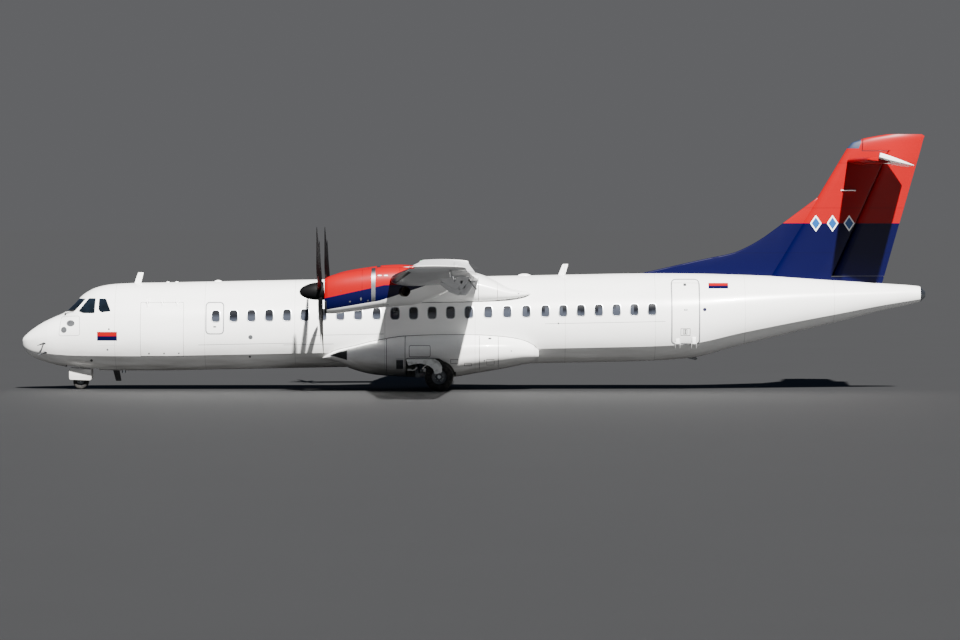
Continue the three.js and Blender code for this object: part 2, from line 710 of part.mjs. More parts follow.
// The part of a skin behind a door's outline, down to a depth. A margin above 0 makes the doorway.
function doorBlock([name, side, from, to, sill, top, hingeY, hingeZ], skin, margin, depth) {
  const [inside, outside] = DOOR_SIDE;
  let window = mirrored(box(from - margin, to + margin, inside, outside, sill - margin, top + margin), side);
  if (hingeZ) {
    const reach = (DOOR_REACH[name] + margin) / Math.cos(Math.PI / DOOR_ARC_SIDES);
    const [a, b] = [[from - DOOR_DEPTH, hingeY, hingeZ], [to + DOOR_DEPTH, hingeY, hingeZ]];
    window = window.intersect(bar(a, b, reach, reach, DOOR_ARC_SIDES));
  }
  return skin.intersect(window).subtract(fuselagePart(FUSELAGE_CUTS.radome, LENGTH, -depth));
}

function doorToe([name, , from, to]) {
  if (name !== "passenger_door") return [];
  return [box(from - GAP, to + GAP, -DOOR_TOE.y, 0, ...DOOR_TOE.z)];
}

// A swept blade aerial, from its root's front and rear x to its tip's height
function aerial([, front, back, root, tip, sweep]) {
  const outline = [[front, root], [back, root], [back + sweep, tip], [front + sweep * 1.4, tip]];
  return plate(outline, -AERIAL_HALF_THICKNESS, AERIAL_HALF_THICKNESS);
}

function fuselage() {
  const { radome, front, centre, rear } = FUSELAGE_CUTS;
  add("radome", fuselagePart(0, radome - GAP), MATERIALS.white);
  const noseBay = boxAbout(NOSE_BAY.from, NOSE_BAY.to, NOSE_BAY.halfWidth, NOSE_BAY.floor, NOSE_BAY.roof);
  const { glazing, hollow } = cockpit();
  const skin = fuselagePart(radome, LENGTH);
  const doorwaySkin = fuselagePart(radome, LENGTH, DOORWAY_PROUD);
  const cabin = fuselagePart(centre - GAP - LEAST_STEP, CABIN.end, -CABIN.wall);
  const sections = {
    front: cut(fuselagePart(radome, front - GAP), noseBay, hollow),
    rear: cut(fuselagePart(centre, rear - GAP), cabin),
  };
  for (const door of DOORS) {
    add(door[0], cut(doorBlock(door, skin, 0, DOOR_DEPTH), ...doorToe(door)), MATERIALS.white);
    const swings = door.length > 6;
    const [margin, depth] = swings ? [RUNNING_GAP, DOOR_DEPTH + DOORWAY_DEPTH] : [SHUT_GAP, DOOR_DEPTH + GAP];
    const section = door[3] < front ? "front" : "rear";
    sections[section] = cut(sections[section], doorBlock(door, doorwaySkin, margin, depth));
  }
  for (const row of AERIALS) sections[row[0]] = join(sections[row[0]], aerial(row));
  const { x, radius, bottom, top } = JACKING_PAD;
  const pad = bar([x, 0, bottom], [x, 0, top], radius, radius, 16);
  add("fuselage_front", join(sections.front, pad), MATERIALS.white);
  const centrePart = cut(fuselagePart(front, centre - GAP), wingTool(), gearBay(-1), gearBay(1));
  add("fuselage_centre", centrePart, MATERIALS.white);
  add("fuselage_rear", sections.rear, MATERIALS.white);
  add("tail_cone", fuselagePart(rear, LENGTH), MATERIALS.grey);
  add("cockpit_glazing", glazing, MATERIALS.glass);
}

// The panes stand in their openings, and a core behind them joins them
function cockpit() {
  const panes = (margin) => {
    const grown = COCKPIT_WINDOWS.map((outline) => {
      const share = 1 / outline.length;
      const middle = outline.reduce(([x, z], p) => [x + p[0] * share, z + p[1] * share], [0, 0]);
      const scale = 1 + margin / GLASS.reach;
      return outline.map((point) => point.map((value, i) => middle[i] + (value - middle[i]) * scale));
    });
    const sides = [[-GLASS.side, -GLASS.post + margin], [GLASS.post - margin, GLASS.side]];
    return join(...grown.flatMap((outline) => sides.map(([a, b]) => plate(outline, a, b))));
  };
  const core = (margin) => {
    const [from, to] = [GLASS.from - margin, GLASS.to + margin];
    const room = boxAbout(from, to, GLASS.side, GLASS.floor - margin, GLASS.roof + margin);
    return fuselagePart(from, to, margin - GLASS.depth).intersect(room);
  };
  const skin = fuselagePart(FUSELAGE_CUTS.radome, BARREL.from, -GLASS.inset);
  return {
    glazing: join(panes(0).intersect(skin), core(0)),
    hollow: join(panes(GAP), core(GAP)),
  };
}

// x of the rudder's hinge line at a height
function rudderHinge(z) {
  const { bottom, top } = RUDDER;
  return bottom[1] + ((top[1] - bottom[1]) * (z - bottom[0])) / (top[0] - bottom[0]);
}

const finLoft = (grow = 0) =>
  loft(FIN_STATIONS.map((station) => grownOutline(onFin, station, station[3], grow)));
const TAIL_REACH = { back: 27400, top: 7900, side: 300 }; // past the fin and rudder all round

// The rudder's horn, which fills the fin's whole top behind its front edge
function rudderHorn(margin) {
  const { hornZ, hornFront, hornLean } = RUDDER;
  const [front, foot] = [hornFront - margin, hornZ - margin];
  const outline = [
    [front, foot],
    [TAIL_REACH.back, foot],
    [TAIL_REACH.back, TAIL_REACH.top],
    [front + hornLean, TAIL_REACH.top],
  ];
  return plate(outline, -TAIL_REACH.side, TAIL_REACH.side);
}

function tail(fuselageTool) {
  const share = (z) => {
    const [, x, chord] = stationAt(FIN_STATIONS, z);
    return (rudderHinge(z) - x) / chord;
  };
  const coveShare = (z) => {
    const [, , chord, t] = stationAt(FIN_STATIONS, z);
    return share(z) - halfThickness(share(z), t) - RUNNING_GAP / chord;
  };
  const [foot, top] = [RUDDER.bottom[0], RUDDER.hornZ];
  const rudderCove = cove(onFin, FIN_STATIONS, foot - RUDDER.footGap, top + RUNNING_GAP, coveShare);
  const fixedEnd = TAILPLANE.hingeX - ELEVATOR_ROOM;
  const fixedTail = wholeTail(GAP).intersect(boxAbout(DORSAL.end, fixedEnd, 4000, 6000, TAIL_REACH.top));
  const fin = cut(finLoft(), rudderCove, rudderHorn(RUDDER.hornGap), fuselageTool, fixedTail);
  add("fin", fin, MATERIALS.blue);
  const blade = movingSurface(onFin, FIN_STATIONS, [foot, top + LEAST_STEP], 3, 0, share);
  add("rudder", join(blade, finLoft().intersect(rudderHorn(0))), MATERIALS.red);
  const edge = new THREE.SplineCurve(DORSAL.curve.map(([x, z]) => new THREE.Vector2(x, z))).getPoints(14);
  const ridgeFoot = [[DORSAL.end, DORSAL.foot], [DORSAL.curve[0][0], DORSAL.foot]];
  const outline = [...edge.map((p) => [p.x, p.y]), ...ridgeFoot];
  const ridge = plate(outline, -DORSAL.halfThickness, DORSAL.halfThickness);
  add("dorsal_fin", cut(ridge, fuselageTool, finLoft(GAP * 2)), MATERIALS.blue);
}

const placeTail = ([y, x, chord], u, w) => onWing([y, x, chord, TAILPLANE.z], u, w);

// The whole tailplane, elevators included, from tip to tip
function wholeTail(grow) {
  const outer = TAILPLANE_STATIONS.slice(1);
  const rows = [...outer.map(([y, ...rest]) => [-y, ...rest]).reverse(), TAILPLANE_STATIONS[0], ...outer];
  return loft(rows.map((station) => grownOutline(placeTail, station, station[3], grow)));
}

function tailplane() {
  const { elevatorFrom, hornFrom, hornFront, tip, hingeX, z, cutout } = TAILPLANE;
  const share = (y) => {
    const [, x, chord] = stationAt(TAILPLANE_STATIONS, y);
    return (hingeX - x) / chord;
  };
  const coveShare = (y) => {
    const [, , chord, t] = stationAt(TAILPLANE_STATIONS, y);
    return share(y) - halfThickness(share(y), t) - TAILPLANE.coveGap / chord;
  };
  const back = TAIL_REACH.back;
  const [low, high] = [z - TAIL_REACH.side, z + TAIL_REACH.side];
  const hornBox = (margin) => box(hornFront - 2.5 * margin, back, hornFrom - margin, tip + 60, low, high);
  const elevatorCove = cove(placeTail, TAILPLANE_STATIONS, 0, hornFrom, coveShare, RUNNING_GAP);
  let body = wholeTail(0);
  for (const side of [-1, 1]) {
    body = cut(body, mirrored(elevatorCove, side), mirrored(hornBox(RUNNING_GAP), side));
  }
  add("tailplane", body, MATERIALS.red);
  const slope = cutout * (back - hingeX);
  const rudderRoom = [[hingeX, 0], [back, 0], [back, elevatorFrom + slope], [hingeX, elevatorFrom]];
  const roomShape = new THREE.Shape(rudderRoom.map(([x, y]) => new THREE.Vector2(x, y)));
  const room = new THREE.ExtrudeGeometry(roomShape, { depth: high - low, bevelEnabled: false });
  const span = [elevatorFrom, hornFrom + LEAST_STEP];
  const blade = movingSurface(placeTail, TAILPLANE_STATIONS, span, 3, 0, share);
  const elevator = cut(join(blade, wholeTail(0).intersect(hornBox(0))), toSolid(room.translate(0, 0, low)));
  for (const [side, label] of SIDES) {
    const hinge = new THREE.Group();
    hinge.position.set(hingeX, 0, z);
    hinge.rotation.y = THREE.MathUtils.degToRad(TAILPLANE.droop);
    aircraft.add(hinge);
    add(`elevator_${label}`, mirrored(elevator, side).translate([-hingeX, 0, -z]), MATERIALS.white, hinge);
  }
}

// One propeller blade along +Z from the hub, with its twist
function propellerBlade() {
  const rings = BLADE_STATIONS.map(([radius, chord, pitch, sweep, thickness]) => {
    const a = THREE.MathUtils.degToRad(pitch);
    return wholeOutline(thickness, 0, 3).map(([u, w]) => {
      const [along, across] = [(u - BLADE_AXIS) * chord + sweep, w * chord];
      const x = along * Math.sin(a) + across * Math.cos(a);
      return new THREE.Vector3(x, along * Math.cos(a) - across * Math.sin(a), radius);
    });
  });
  return loft(rings);
}

function propellerDisc() {
  const { hub, hubRadius, hubFlare, blades, phase } = PROPELLER;
  const oneBlade = propellerBlade();
  let disc = bar([hub[0], 0, 0], [hub[1], 0, 0], hubRadius, hubRadius + hubFlare, TURN_SIDES);
  for (let i = 0; i < blades; i++) disc = join(disc, oneBlade.rotate([phase + (360 / blades) * i, 0, 0]));
  return disc;
}

function spinner() {
  const length = PROPELLER.x + PROPELLER.hub[0] - GAP - SPINNER.tip;
  const profile = [new THREE.Vector2(0, 0)];
  for (let i = 0; i < SPINNER.steps; i++) {
    const t = i / SPINNER.steps;
    profile.push(new THREE.Vector2(SPINNER.radius * Math.sqrt(1 - t ** SPINNER.power), length * t));
  }
  profile.push(new THREE.Vector2(0, length));
  return toSolid(new THREE.LatheGeometry(profile, TURN_SIDES).rotateZ(Math.PI / 2));
}

function engines() {
  const disc = propellerDisc();
  const nose = spinner();
  for (const [side, label] of SIDES) {
    const y = side * ENGINE_Y;
    const { from, to, halfWidth, bottom, top, clearance } = ENGINE;
    const block = (margin) => {
      const half = halfWidth + margin;
      return box(from - margin, to + margin, y - half, y + half, bottom - margin, top + margin);
    };
    const sweep = THREE.MathUtils.degToRad(EXHAUST.sweep);
    const outward = [Math.sin(sweep), side * Math.cos(sweep)];
    const along = (reach) => [EXHAUST.x + outward[0] * reach, y + outward[1] * reach, EXHAUST.z];
    const stub = bar(along(EXHAUST.from), along(EXHAUST.to), EXHAUST.radius, EXHAUST.radius, 20);
    const bore = EXHAUST.radius - EXHAUST.wall;
    const pipe = bar(along(EXHAUST.bore), along(EXHAUST.to + 60), bore, bore, 20);
    const shell = join(roundedLoft(NACELLE, NACELLE_CORNER, TURN_SIDES, y), stub);
    const mouth = roundedLoft(INTAKE, NACELLE_CORNER, 16, y);
    add(`nacelle_${label}`, cut(shell, wingTool(), block(clearance), mouth, pipe), MATERIALS.red);
    add(`engine_${label}`, block(0), MATERIALS.metal);
    const hub = new THREE.Group();
    hub.position.set(PROPELLER.x, y, PROPELLER.z);
    hub.rotation.y = -THREE.MathUtils.degToRad(PROPELLER.tilt);
    aircraft.add(hub);
    add(`propeller_${label}`, disc, MATERIALS.dark, hub);
    add(`spinner_${label}`, nose, MATERIALS.dark, hub).position.x = PROPELLER.hub[0] - GAP;
  }
}

// A profile of radius and place along y, turned about the y axis
function turned(profile, y) {
  const points = profile.map(([radius, along]) => new THREE.Vector2(radius, along));
  const geometry = new THREE.LatheGeometry(points, WHEEL_SIDES).rotateY(Math.PI / WHEEL_SIDES);
  return toSolid(geometry.translate(0, y, 0));
}

// Tyre and rim profiles, in shares of the tyre's and the rim's radius and half width
function tyre({ tyreRadius: r, tyreHalfWidth: w, rimRadius }, y) {
  const bead = rimRadius + GAP;
  const half = [[bead, 0.72 * w], [0.75 * r, w], [0.93 * r, 0.86 * w], [r, 0.4 * w]];
  const other = half.map(([radius, along]) => [radius, -along]);
  return turned([...other, ...half.reverse(), other[0]], y);
}
function rim({ rimRadius: r, tyreHalfWidth: w }, y) {
  const [flange, lip] = [0.7 * w, 12];
  const half = [[0, 0.9], [0.3 * r, 0.9], [0.5 * r, 0.3], [r - lip, 1], [r, 1]];
  const profile = [
    ...half.map(([radius, share]) => [radius, -share * flange]),
    ...half.map(([radius, share]) => [radius, share * flange]).reverse(),
  ];
  return turned(profile, y);
}

// Two wheels on one axle. The labels name the node of the rims and of the tyre on each side.
function wheelPair(gear, x, y, [rimsName, ...tyreNames]) {
  const axle = new THREE.Group();
  axle.position.set(x, y, gear.tyreRadius * FLAT_SHARE);
  aircraft.add(axle);
  const { halfSpacing, rimRadius } = gear;
  const axleRadius = rimRadius * AXLE_SHARE;
  const tube = bar([0, -halfSpacing, 0], [0, halfSpacing, 0], axleRadius, axleRadius, 16);
  add(rimsName, join(tube, rim(gear, -halfSpacing), rim(gear, halfSpacing)), MATERIALS.metal, axle);
  tyreNames.forEach((name, i) => {
    add(name, tyre(gear, i ? halfSpacing : -halfSpacing), MATERIALS.rubber, axle);
  });
}

function mainGear() {
  const names = {
    left: ["main_rims_left", "main_tyre_left_outer", "main_tyre_left_inner"],
    right: ["main_rims_right", "main_tyre_right_inner", "main_tyre_right_outer"],
  };
  const { x: rootX, halfLength, y: rootY, bottom } = MAIN_LEG.root;
  const middle = MAIN_GEAR.x + rootX;
  const root = box(middle - halfLength, middle + halfLength, ...rootY, bottom, GEAR_BAY.roof - GAP);
  const bars = [MAIN_LEG.leg, MAIN_LEG.knee, MAIN_LEG.strut].map(({ from, to, radii, sides }) => {
    const [a, b] = [from, to].map(([x, y, z]) => [MAIN_GEAR.x + x, y, z]);
    return bar(a, b, ...radii, sides);
  });
  const leg = cut(join(root, ...bars), trailingArm(GAP));
  for (const [side, label] of SIDES) {
    wheelPair(MAIN_GEAR, MAIN_GEAR.x, side * MAIN_GEAR.track, names[label]);
    add(`main_leg_${label}`, mirrored(leg, side), MATERIALS.white);
    add(`trailing_arm_${label}`, mirrored(trailingArm(0), side), MATERIALS.white);
    add(`leg_door_${label}`, mirrored(legDoor(), side), MATERIALS.white);
  }
}

// The trailing arm, for the right side, runs from the knee back to a collar round the turning axle
function trailingArm(grow) {
  const { x, track, tyreRadius, rimRadius } = MAIN_GEAR;
  const { halfWidth, collar, sides } = TRAILING_ARM;
  const z = tyreRadius * FLAT_SHARE;
  const [near, far] = [track - halfWidth - grow, track + halfWidth + grow];
  const axleRadius = rimRadius * AXLE_SHARE;
  const round = bar([x, near, z], [x, far, z], axleRadius + collar + grow, axleRadius + collar + grow, sides);
  const outline = ARM_OUTLINE.map(([ahead, height, fromAxle, way]) => [
    x + ahead,
    height + (fromAxle ? z : 0) + way * grow,
  ]);
  const whole = join(round, plate(outline, near, far));
  if (grow) return whole;
  const bore = axleRadius + AXLE_GAP;
  return cut(whole, bar([x, near - halfWidth, z], [x, far + halfWidth, z], bore, bore, sides));
}

function legDoor() {
  const { x, z, y, radius } = LEG_DOOR_ARM;
  return join(plate(LEG_DOOR, ...LEG_DOOR_Y), bar([x, y[0], z], [x, y[1], z], radius, radius, 8));
}

function noseGear() {
  const { x, rimRadius } = NOSE_GEAR;
  const z = NOSE_GEAR.tyreRadius * FLAT_SHARE;
  const roof = NOSE_BAY.roof - GAP;
  wheelPair(NOSE_GEAR, x, 0, ["nose_rims", "nose_tyre_left", "nose_tyre_right"]);
  const { foot, radius, headHalfLength, headHalfWidth, headDepth } = NOSE_LEG;
  const post = (r) => bar([x, 0, foot], [x, 0, roof], r, r, 16);
  const head = boxAbout(x - headHalfLength, x + headHalfLength, headHalfWidth, roof - headDepth, roof);
  add("nose_leg", join(post(radius), head), MATERIALS.white);

  const { pistonRadius, collarRadius, collarHalfWidth, linkHalfWidth } = NOSE_FORK;
  const bore = rimRadius * AXLE_SHARE + AXLE_GAP;
  const across = (half, r) => bar([x, -half, z], [x, half, z], r, r, 16);
  const { front, back, half } = TOWING_LUG;
  const fork = join(
    bar([x, 0, z], [x, 0, foot - GAP], pistonRadius, pistonRadius, 16),
    across(collarHalfWidth, collarRadius),
    boxAbout(x - front, x - back, half, z - half, z + half),
    plate(TORQUE_LINK.map(([ahead, height]) => [x + ahead, height]), -linkHalfWidth, linkHalfWidth),
  );
  add("nose_fork", cut(fork, across(2 * collarHalfWidth, bore)), MATERIALS.metal);

  const lugEnd = NOSE_BAY.to - DRAG_BRACE.end;
  const { lugLength, lugHalfWidth, lugDepth } = DRAG_BRACE;
  const lug = boxAbout(lugEnd - lugLength, lugEnd, lugHalfWidth, roof - lugDepth, roof);
  const braceFoot = [x + DRAG_BRACE.foot[0], 0, DRAG_BRACE.foot[1]];
  const braceTop = [lugEnd - lugLength / 2, 0, roof - lugDepth / 2];
  const brace = join(bar(braceFoot, braceTop, DRAG_BRACE.radius, DRAG_BRACE.radius, 10), lug);
  add("nose_drag_brace", cut(brace, post(radius + GAP)), MATERIALS.white);

  const { from, to, top, bottom, y, halfThickness: t } = NOSE_DOOR;
  const panel = plate([[from, bottom + 20], [to, bottom], [to, top - 40], [from, top]], y - t, y + t);
  const door = cut(panel, fuselagePart(FUSELAGE_CUTS.radome, BARREL.from, GAP));
  for (const [side, label] of SIDES) add(`nose_door_${label}`, mirrored(door, side), MATERIALS.white);
}

const wholeFuselage = fuselagePart(FUSELAGE_CUTS.radome, LENGTH, GAP);
fuselage();
wingParts();
fairings(wholeFuselage);
tail(wholeFuselage);
tailplane();
engines();
mainGear();
noseGear();

aircraft.position.x = -LENGTH / 2;
export default aircraft;
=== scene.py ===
# The looks of a twin turboprop airliner, parked on its wheels: a high wing, a T-tail and
# six-bladed propellers. Shapes are worked out in millimetres, x aft from the nose tip, and
# to_mesh turns them into the frame's metres.
import math

import bmesh
import bpy
import numpy as np
from bpy.props import FloatProperty, FloatVectorProperty, IntProperty, PointerProperty
from mathutils import Matrix, Vector


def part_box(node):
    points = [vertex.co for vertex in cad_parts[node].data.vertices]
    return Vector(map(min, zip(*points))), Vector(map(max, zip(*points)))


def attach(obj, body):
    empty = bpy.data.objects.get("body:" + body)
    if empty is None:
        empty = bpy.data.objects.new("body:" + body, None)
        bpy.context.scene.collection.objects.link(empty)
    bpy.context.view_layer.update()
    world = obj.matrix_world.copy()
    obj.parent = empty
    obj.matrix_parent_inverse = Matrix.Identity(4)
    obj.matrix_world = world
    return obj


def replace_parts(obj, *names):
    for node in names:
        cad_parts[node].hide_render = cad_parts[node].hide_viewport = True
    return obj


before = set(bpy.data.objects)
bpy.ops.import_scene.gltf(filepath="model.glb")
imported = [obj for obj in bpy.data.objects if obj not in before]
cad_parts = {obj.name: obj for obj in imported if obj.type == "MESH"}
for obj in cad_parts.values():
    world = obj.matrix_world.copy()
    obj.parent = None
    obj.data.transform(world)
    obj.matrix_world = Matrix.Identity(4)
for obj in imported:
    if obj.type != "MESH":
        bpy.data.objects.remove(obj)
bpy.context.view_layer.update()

bl_info = {
    "name": "Turboprop airliner",
    "version": (1, 0, 0),
    "blender": (4, 5, 0),
    "location": "View3D > Sidebar > Airliner",
    "description": "Builds the skins, fittings and finishes of a twin turboprop airliner round its frame",
    "category": "Object",
}

MM = 0.001
NOSE_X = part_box("radome")[0].x
LENGTH = (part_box("tail_cone")[1].x - NOSE_X) / MM
SIDES = ((-1, "left"), (1, "right"))

# Body tables

BARREL_FROM, BARREL_TO, BARREL_TOP = 4300, 18000, 3202
GROUND_SLOPE = 0.0193  # the parked fuselage stands a little nose down
FUSELAGE_RADIUS = 1432.5
BELLY_DEPTH = 1215
CREASE_DEPTH = 0.617  # where the flatter belly begins, as a share of the depth below the widest line
CREASE_WIDTH = 0.852
BELLY_ANGLE = 0.73


def barrel_row(x):
    top = BARREL_TOP + GROUND_SLOPE * (x - BARREL_FROM)
    middle = top - FUSELAGE_RADIUS
    return (x, top, middle, middle - BELLY_DEPTH, FUSELAGE_RADIUS)


# Fuselage stations: x, top, widest height, bottom, half width
FUSELAGE = [
    (0, 1455, 1430, 1405, 30),
    (40, 1548, 1438, 1218, 175),
    (150, 1663, 1453, 1083, 330),
    (350, 1822, 1472, 947, 500),
    (600, 1983, 1505, 850, 665),
    (1000, 2178, 1583, 733, 860),
    (1250, 2287, 1632, 677, 950),
    (1550, 2556, 1670, 625, 1045),
    (1880, 2870, 1713, 593, 1130),
    (2270, 3063, 1741, 569, 1215),
    (2750, 3151, 1749, 558, 1300),
    (3450, 3186, 1752, 555, 1390),
    barrel_row(BARREL_FROM),
    barrel_row(BARREL_TO),
    (19300, 3478, 2058, 868, 1425),
    (20150, 3471, 2123, 943, 1385),
    (21550, 3435, 2330, 1305, 1240),
    (23000, 3372, 2522, 1655, 1035),
    (24490, 3271, 2674, 2011, 790),
    (25860, 3173, 2786, 2358, 545),
    (26900, 3098, 2846, 2590, 330),
    (27080, 3050, 2845, 2640, 255),
    (LENGTH, 2929, 2844, 2759, 110),
]

SECTIONS = ("radome", "fuselage_front", "fuselage_centre", "fuselage_rear")
RADOME_END, FRONT_END, CENTRE_END, REAR_END = ((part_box(node)[1].x - NOSE_X) / MM for node in SECTIONS)
SECTION_GAP = 0.4

WING_KINK, WING_TIP = 4600, 13525
WING_INCIDENCE = math.radians(0.6)
WING_CAMBER = 0.02
# Wing stations: y, leading edge x, chord, height of the leading edge, thickness as a share of the chord
WING = [
    (0, 11150, 2570, 3345, 0.18),
    (WING_KINK, 11150, 2570, 3345, 0.18),
    (13200, 11773, 1626, 3678, 0.131),
    (13360, 11784, 1608, 3712, 0.09),
    (13460, 11803, 1582, 3750, 0.05),
    (13510, 11850, 1500, 3776, 0.02),
    (WING_TIP, 11900, 1400, 3786, 0.012),
]
FLAP_HINGE, INNER_FLAP, OUTER_FLAP, FLAP_END_GAP = 0.77, (1640, 4560), (4650, 9870), 20
AILERON_HINGE, AILERON = 0.74, (9910, 13380)
RUNNING_GAP = 9  # between pieces that move past each other

# Fin stations: z, leading edge x, chord, thickness
FIN = [
    (2920, 22220, 3570, 0.12),
    (7242, 24810, 2215, 0.1),
    (7401, 24950, 2115, 0.09),
    (7530, 25290, 1810, 0.08),
    (7607, 25700, 1430, 0.06),
    (7660, 26050, 1000, 0.04),
]
RUDDER_FOOT, RUDDER_TOP = (3400, 24500), (7356, 26204)  # height and x of the hinge line's two ends
RUDDER_FOOT_GAP = 46
HORN_FOOT, HORN_FRONT, HORN_LEAN, HORN_GAP = 7170, 25260, 60, 22
# The dorsal fin's upper edge: x and z
DORSAL = [
    (18670, 3491), (20390, 3881), (21290, 4070), (21740, 4242), (22190, 4491), (22640, 4807), (23930, 5767),
]

TAIL_Z, TAIL_TIP, TAIL_HINGE_X = 6855, 3655, 25930
TAIL_DROOP = math.radians(16)
# Tailplane stations: y, leading edge x, chord, thickness
TAILPLANE = [(0, 24800, 1820, 0.12), (3600, 25140, 1420, 0.11), (TAIL_TIP, 25230, 1300, 0.06)]
ELEVATOR_FROM, ELEVATOR_HORN, ELEVATOR_HORN_FRONT = 170, 3250, 25500

ENGINE_Y = 4050
PROP_X, PROP_Z, PROP_TILT = 9070, 2992, math.radians(2.5)
# Nacelle stations: x, top, bottom, half width
NACELLE = [
    (9212, 3352, 2343, 335),
    (9300, 3408, 2328, 385),
    (9550, 3491, 2336, 430),
    (9830, 3551, 2365, 460),
    (10320, 3627, 2428, 490),
    (10810, 3689, 2499, 500),
    (11300, 3709, 2547, 500),
    (11820, 3674, 2589, 480),
    (12300, 3581, 2741, 410),
    (12740, 3399, 2939, 270),
    (12990, 3247, 3097, 90),
]
# Wing-root fairing: x, bottom, top, half width
WING_FAIRING = [
    (10150, 2743, 3193, 950),
    (10700, 2510, 3420, 1300),
    (11200, 2437, 3652, 1420),
    (12000, 2433, 3688, 1450),
    (12900, 2448, 3643, 1450),
    (13700, 2493, 3473, 1425),
    (14200, 2550, 3290, 1410),
    (14700, 2650, 3060, 1370),
    (15080, 2745, 2985, 1300),
    (15230, 2810, 2940, 1220),
    (15290, 2850, 2900, 1120),
]
# Main gear fairing under the belly: x, top, bottom, half width
GEAR_FAIRING = [
    (9050, 1029, 899, 1060),
    (9390, 1267, 827, 1360),
    (9985, 1444, 584, 1600),
    (10650, 1630, 430, 1760),
    (11565, 1775, 370, 1860),
    (12750, 1819, 354, 1870),
    (13740, 1793, 496, 1850),
    (14480, 1739, 619, 1760),
    (14980, 1656, 721, 1640),
    (15370, 1474, 794, 1460),
    (15520, 1293, 863, 1260),
]
WING_FAIRING_POWER, GEAR_FAIRING_POWER = 3, 2.6  # how squared-off their sections are
NOSE_BAY = (1330, 2330, -375, 375, 300, 1080)
GEAR_BAY = (11560, 13050, 330, 1450, 200, 960)  # the inner part of the bay, for the folded wheels
BAY_SIDE, ARCH_RADIUS, ARCH_TURN = 2400, 470, math.radians(75)  # outside it the bay's rear follows the wheels

# The frame's wheels stand on one of their flats, so that the round ones are this much smaller
FLAT_SHARE = math.cos(math.pi / 20)
AXLE_SHARE, AXLE_GAP = 0.28, 8
MAIN_X, MAIN_TRACK, MAIN_TYRE, MAIN_HALF_WIDTH, MAIN_SPACING, MAIN_RIM = 12555, 2050, 431, 127, 200, 215
NOSE_WHEEL_X, NOSE_TYRE, NOSE_HALF_WIDTH, NOSE_SPACING, NOSE_RIM = 1766, 225, 95, 180, 95
MAIN_AXLE_Z, NOSE_AXLE_Z = MAIN_TYRE * FLAT_SHARE, NOSE_TYRE * FLAT_SHARE


# Colours and sizes

def hex_colour(code):
    """An sRGB hex colour as linear red, green and blue."""
    shares = [int(code[i:i + 2], 16) / 255 for i in (0, 2, 4)]
    return tuple(v / 12.92 if v <= 0.04045 else ((v + 0.055) / 1.055) ** 2.4 for v in shares)


def colour_property(name, description, code):
    return FloatVectorProperty(
        name=name, description=description, subtype="COLOR", size=3, min=0, max=1, default=hex_colour(code)
    )


def length_property(name, description, metres):
    return FloatProperty(name=name, description=description, unit="LENGTH", min=0, default=metres)


class AirlinerPaints(bpy.types.PropertyGroup):
    """Colours of the livery and of the fittings"""

    white: colour_property("Body white", "Topcoat of the fuselage and fairings", "f2f3f2")
    red: colour_property("Tail red", "Upper fin, tailplane and upper nacelles", "880309")
    blue: colour_property("Tail blue", "Lower fin and nacelle sides", "01012b")
    light_blue: colour_property("Border blue", "Small lozenges of the fin border", "154a85")
    grey: colour_property("Wing grey", "Wings, flaps and ailerons", "c6c8ca")
    gear: colour_property("Gear grey", "Landing gear legs and wheels", "5f6367")
    lining: colour_property("Cabin lining", "Inside of the doors and doorways", "8f8d87")
    floor: colour_property("Floor", "The matt floor", "17181a")


class AirlinerSizes(bpy.types.PropertyGroup):
    """Sizes of the details that the skins carry"""

    window_width: length_property("Window width", "Width of a cabin window", 0.25)
    window_height: length_property("Window height", "Height of a cabin window", 0.35)
    window_rim: length_property("Window rim", "Width of the metal rim round a cabin window", 0.018)
    door_line: length_property("Door line", "Width of the painted line round a door", 0.028)
    seam: length_property("Skin seam", "Width of the line where two skin plates meet", 0.012)
    camera_distance: length_property("Camera distance", "From the camera to the aircraft's middle", 160.0)
    wheel_grooves: IntProperty(name="Tyre grooves", description="Grooves round each tyre", min=0, default=3)


def paints():
    return bpy.context.scene.airliner_paints


def sizes():
    return bpy.context.scene.airliner_sizes


def mm(length):
    """A size in metres as millimetres."""
    return length / MM


# Closed shapes

class Shape:
    """A closed mesh in the making: points in mm, faces, and a paint number for each face."""

    def __init__(self, points, faces, paint=0):
        self.points = np.asarray(points, dtype=float)
        self.faces = faces
        self.paint = np.full(len(faces), paint) if np.isscalar(paint) else np.asarray(paint)


def facing_out(points, faces, paint=0):
    """A closed shape whose faces are turned outward."""
    points = np.asarray(points, dtype=float)
    fans = np.array([(face[0], face[i], face[i + 1]) for face in faces for i in range(1, len(face) - 1)])
    near = points - points.mean(axis=0)
    a, b, c = (near[fans[:, k]] for k in range(3))
    if np.einsum("ij,ij->", a, np.cross(b, c)) < 0:
        faces = [face[::-1] for face in faces]
    return Shape(points, faces, paint)


def joined(*shapes):
    faces, count = [], 0
    for shape in shapes:
        faces += [tuple(i + count for i in face) for face in shape.faces]
        count += len(shape.points)
    points = np.vstack([shape.points for shape in shapes])
    return Shape(points, faces, np.concatenate([shape.paint for shape in shapes]))


def mirrored(shape, side=-1):
    """The shape for the left side, from one made for the right."""
    if side > 0:
        return shape
    return Shape(shape.points * (1, -1, 1), [face[::-1] for face in shape.faces], shape.paint)


def moved(shape, x=0, y=0, z=0):
    return Shape(shape.points + (x, y, z), shape.faces, shape.paint)


def turned(shape, angle, axis, about=(0, 0, 0)):
    """The shape turned by an angle about a line through a point."""
    spin = np.array(Matrix.Rotation(angle, 3, axis))
    return Shape((shape.points - about) @ spin.T + about, shape.faces, shape.paint)


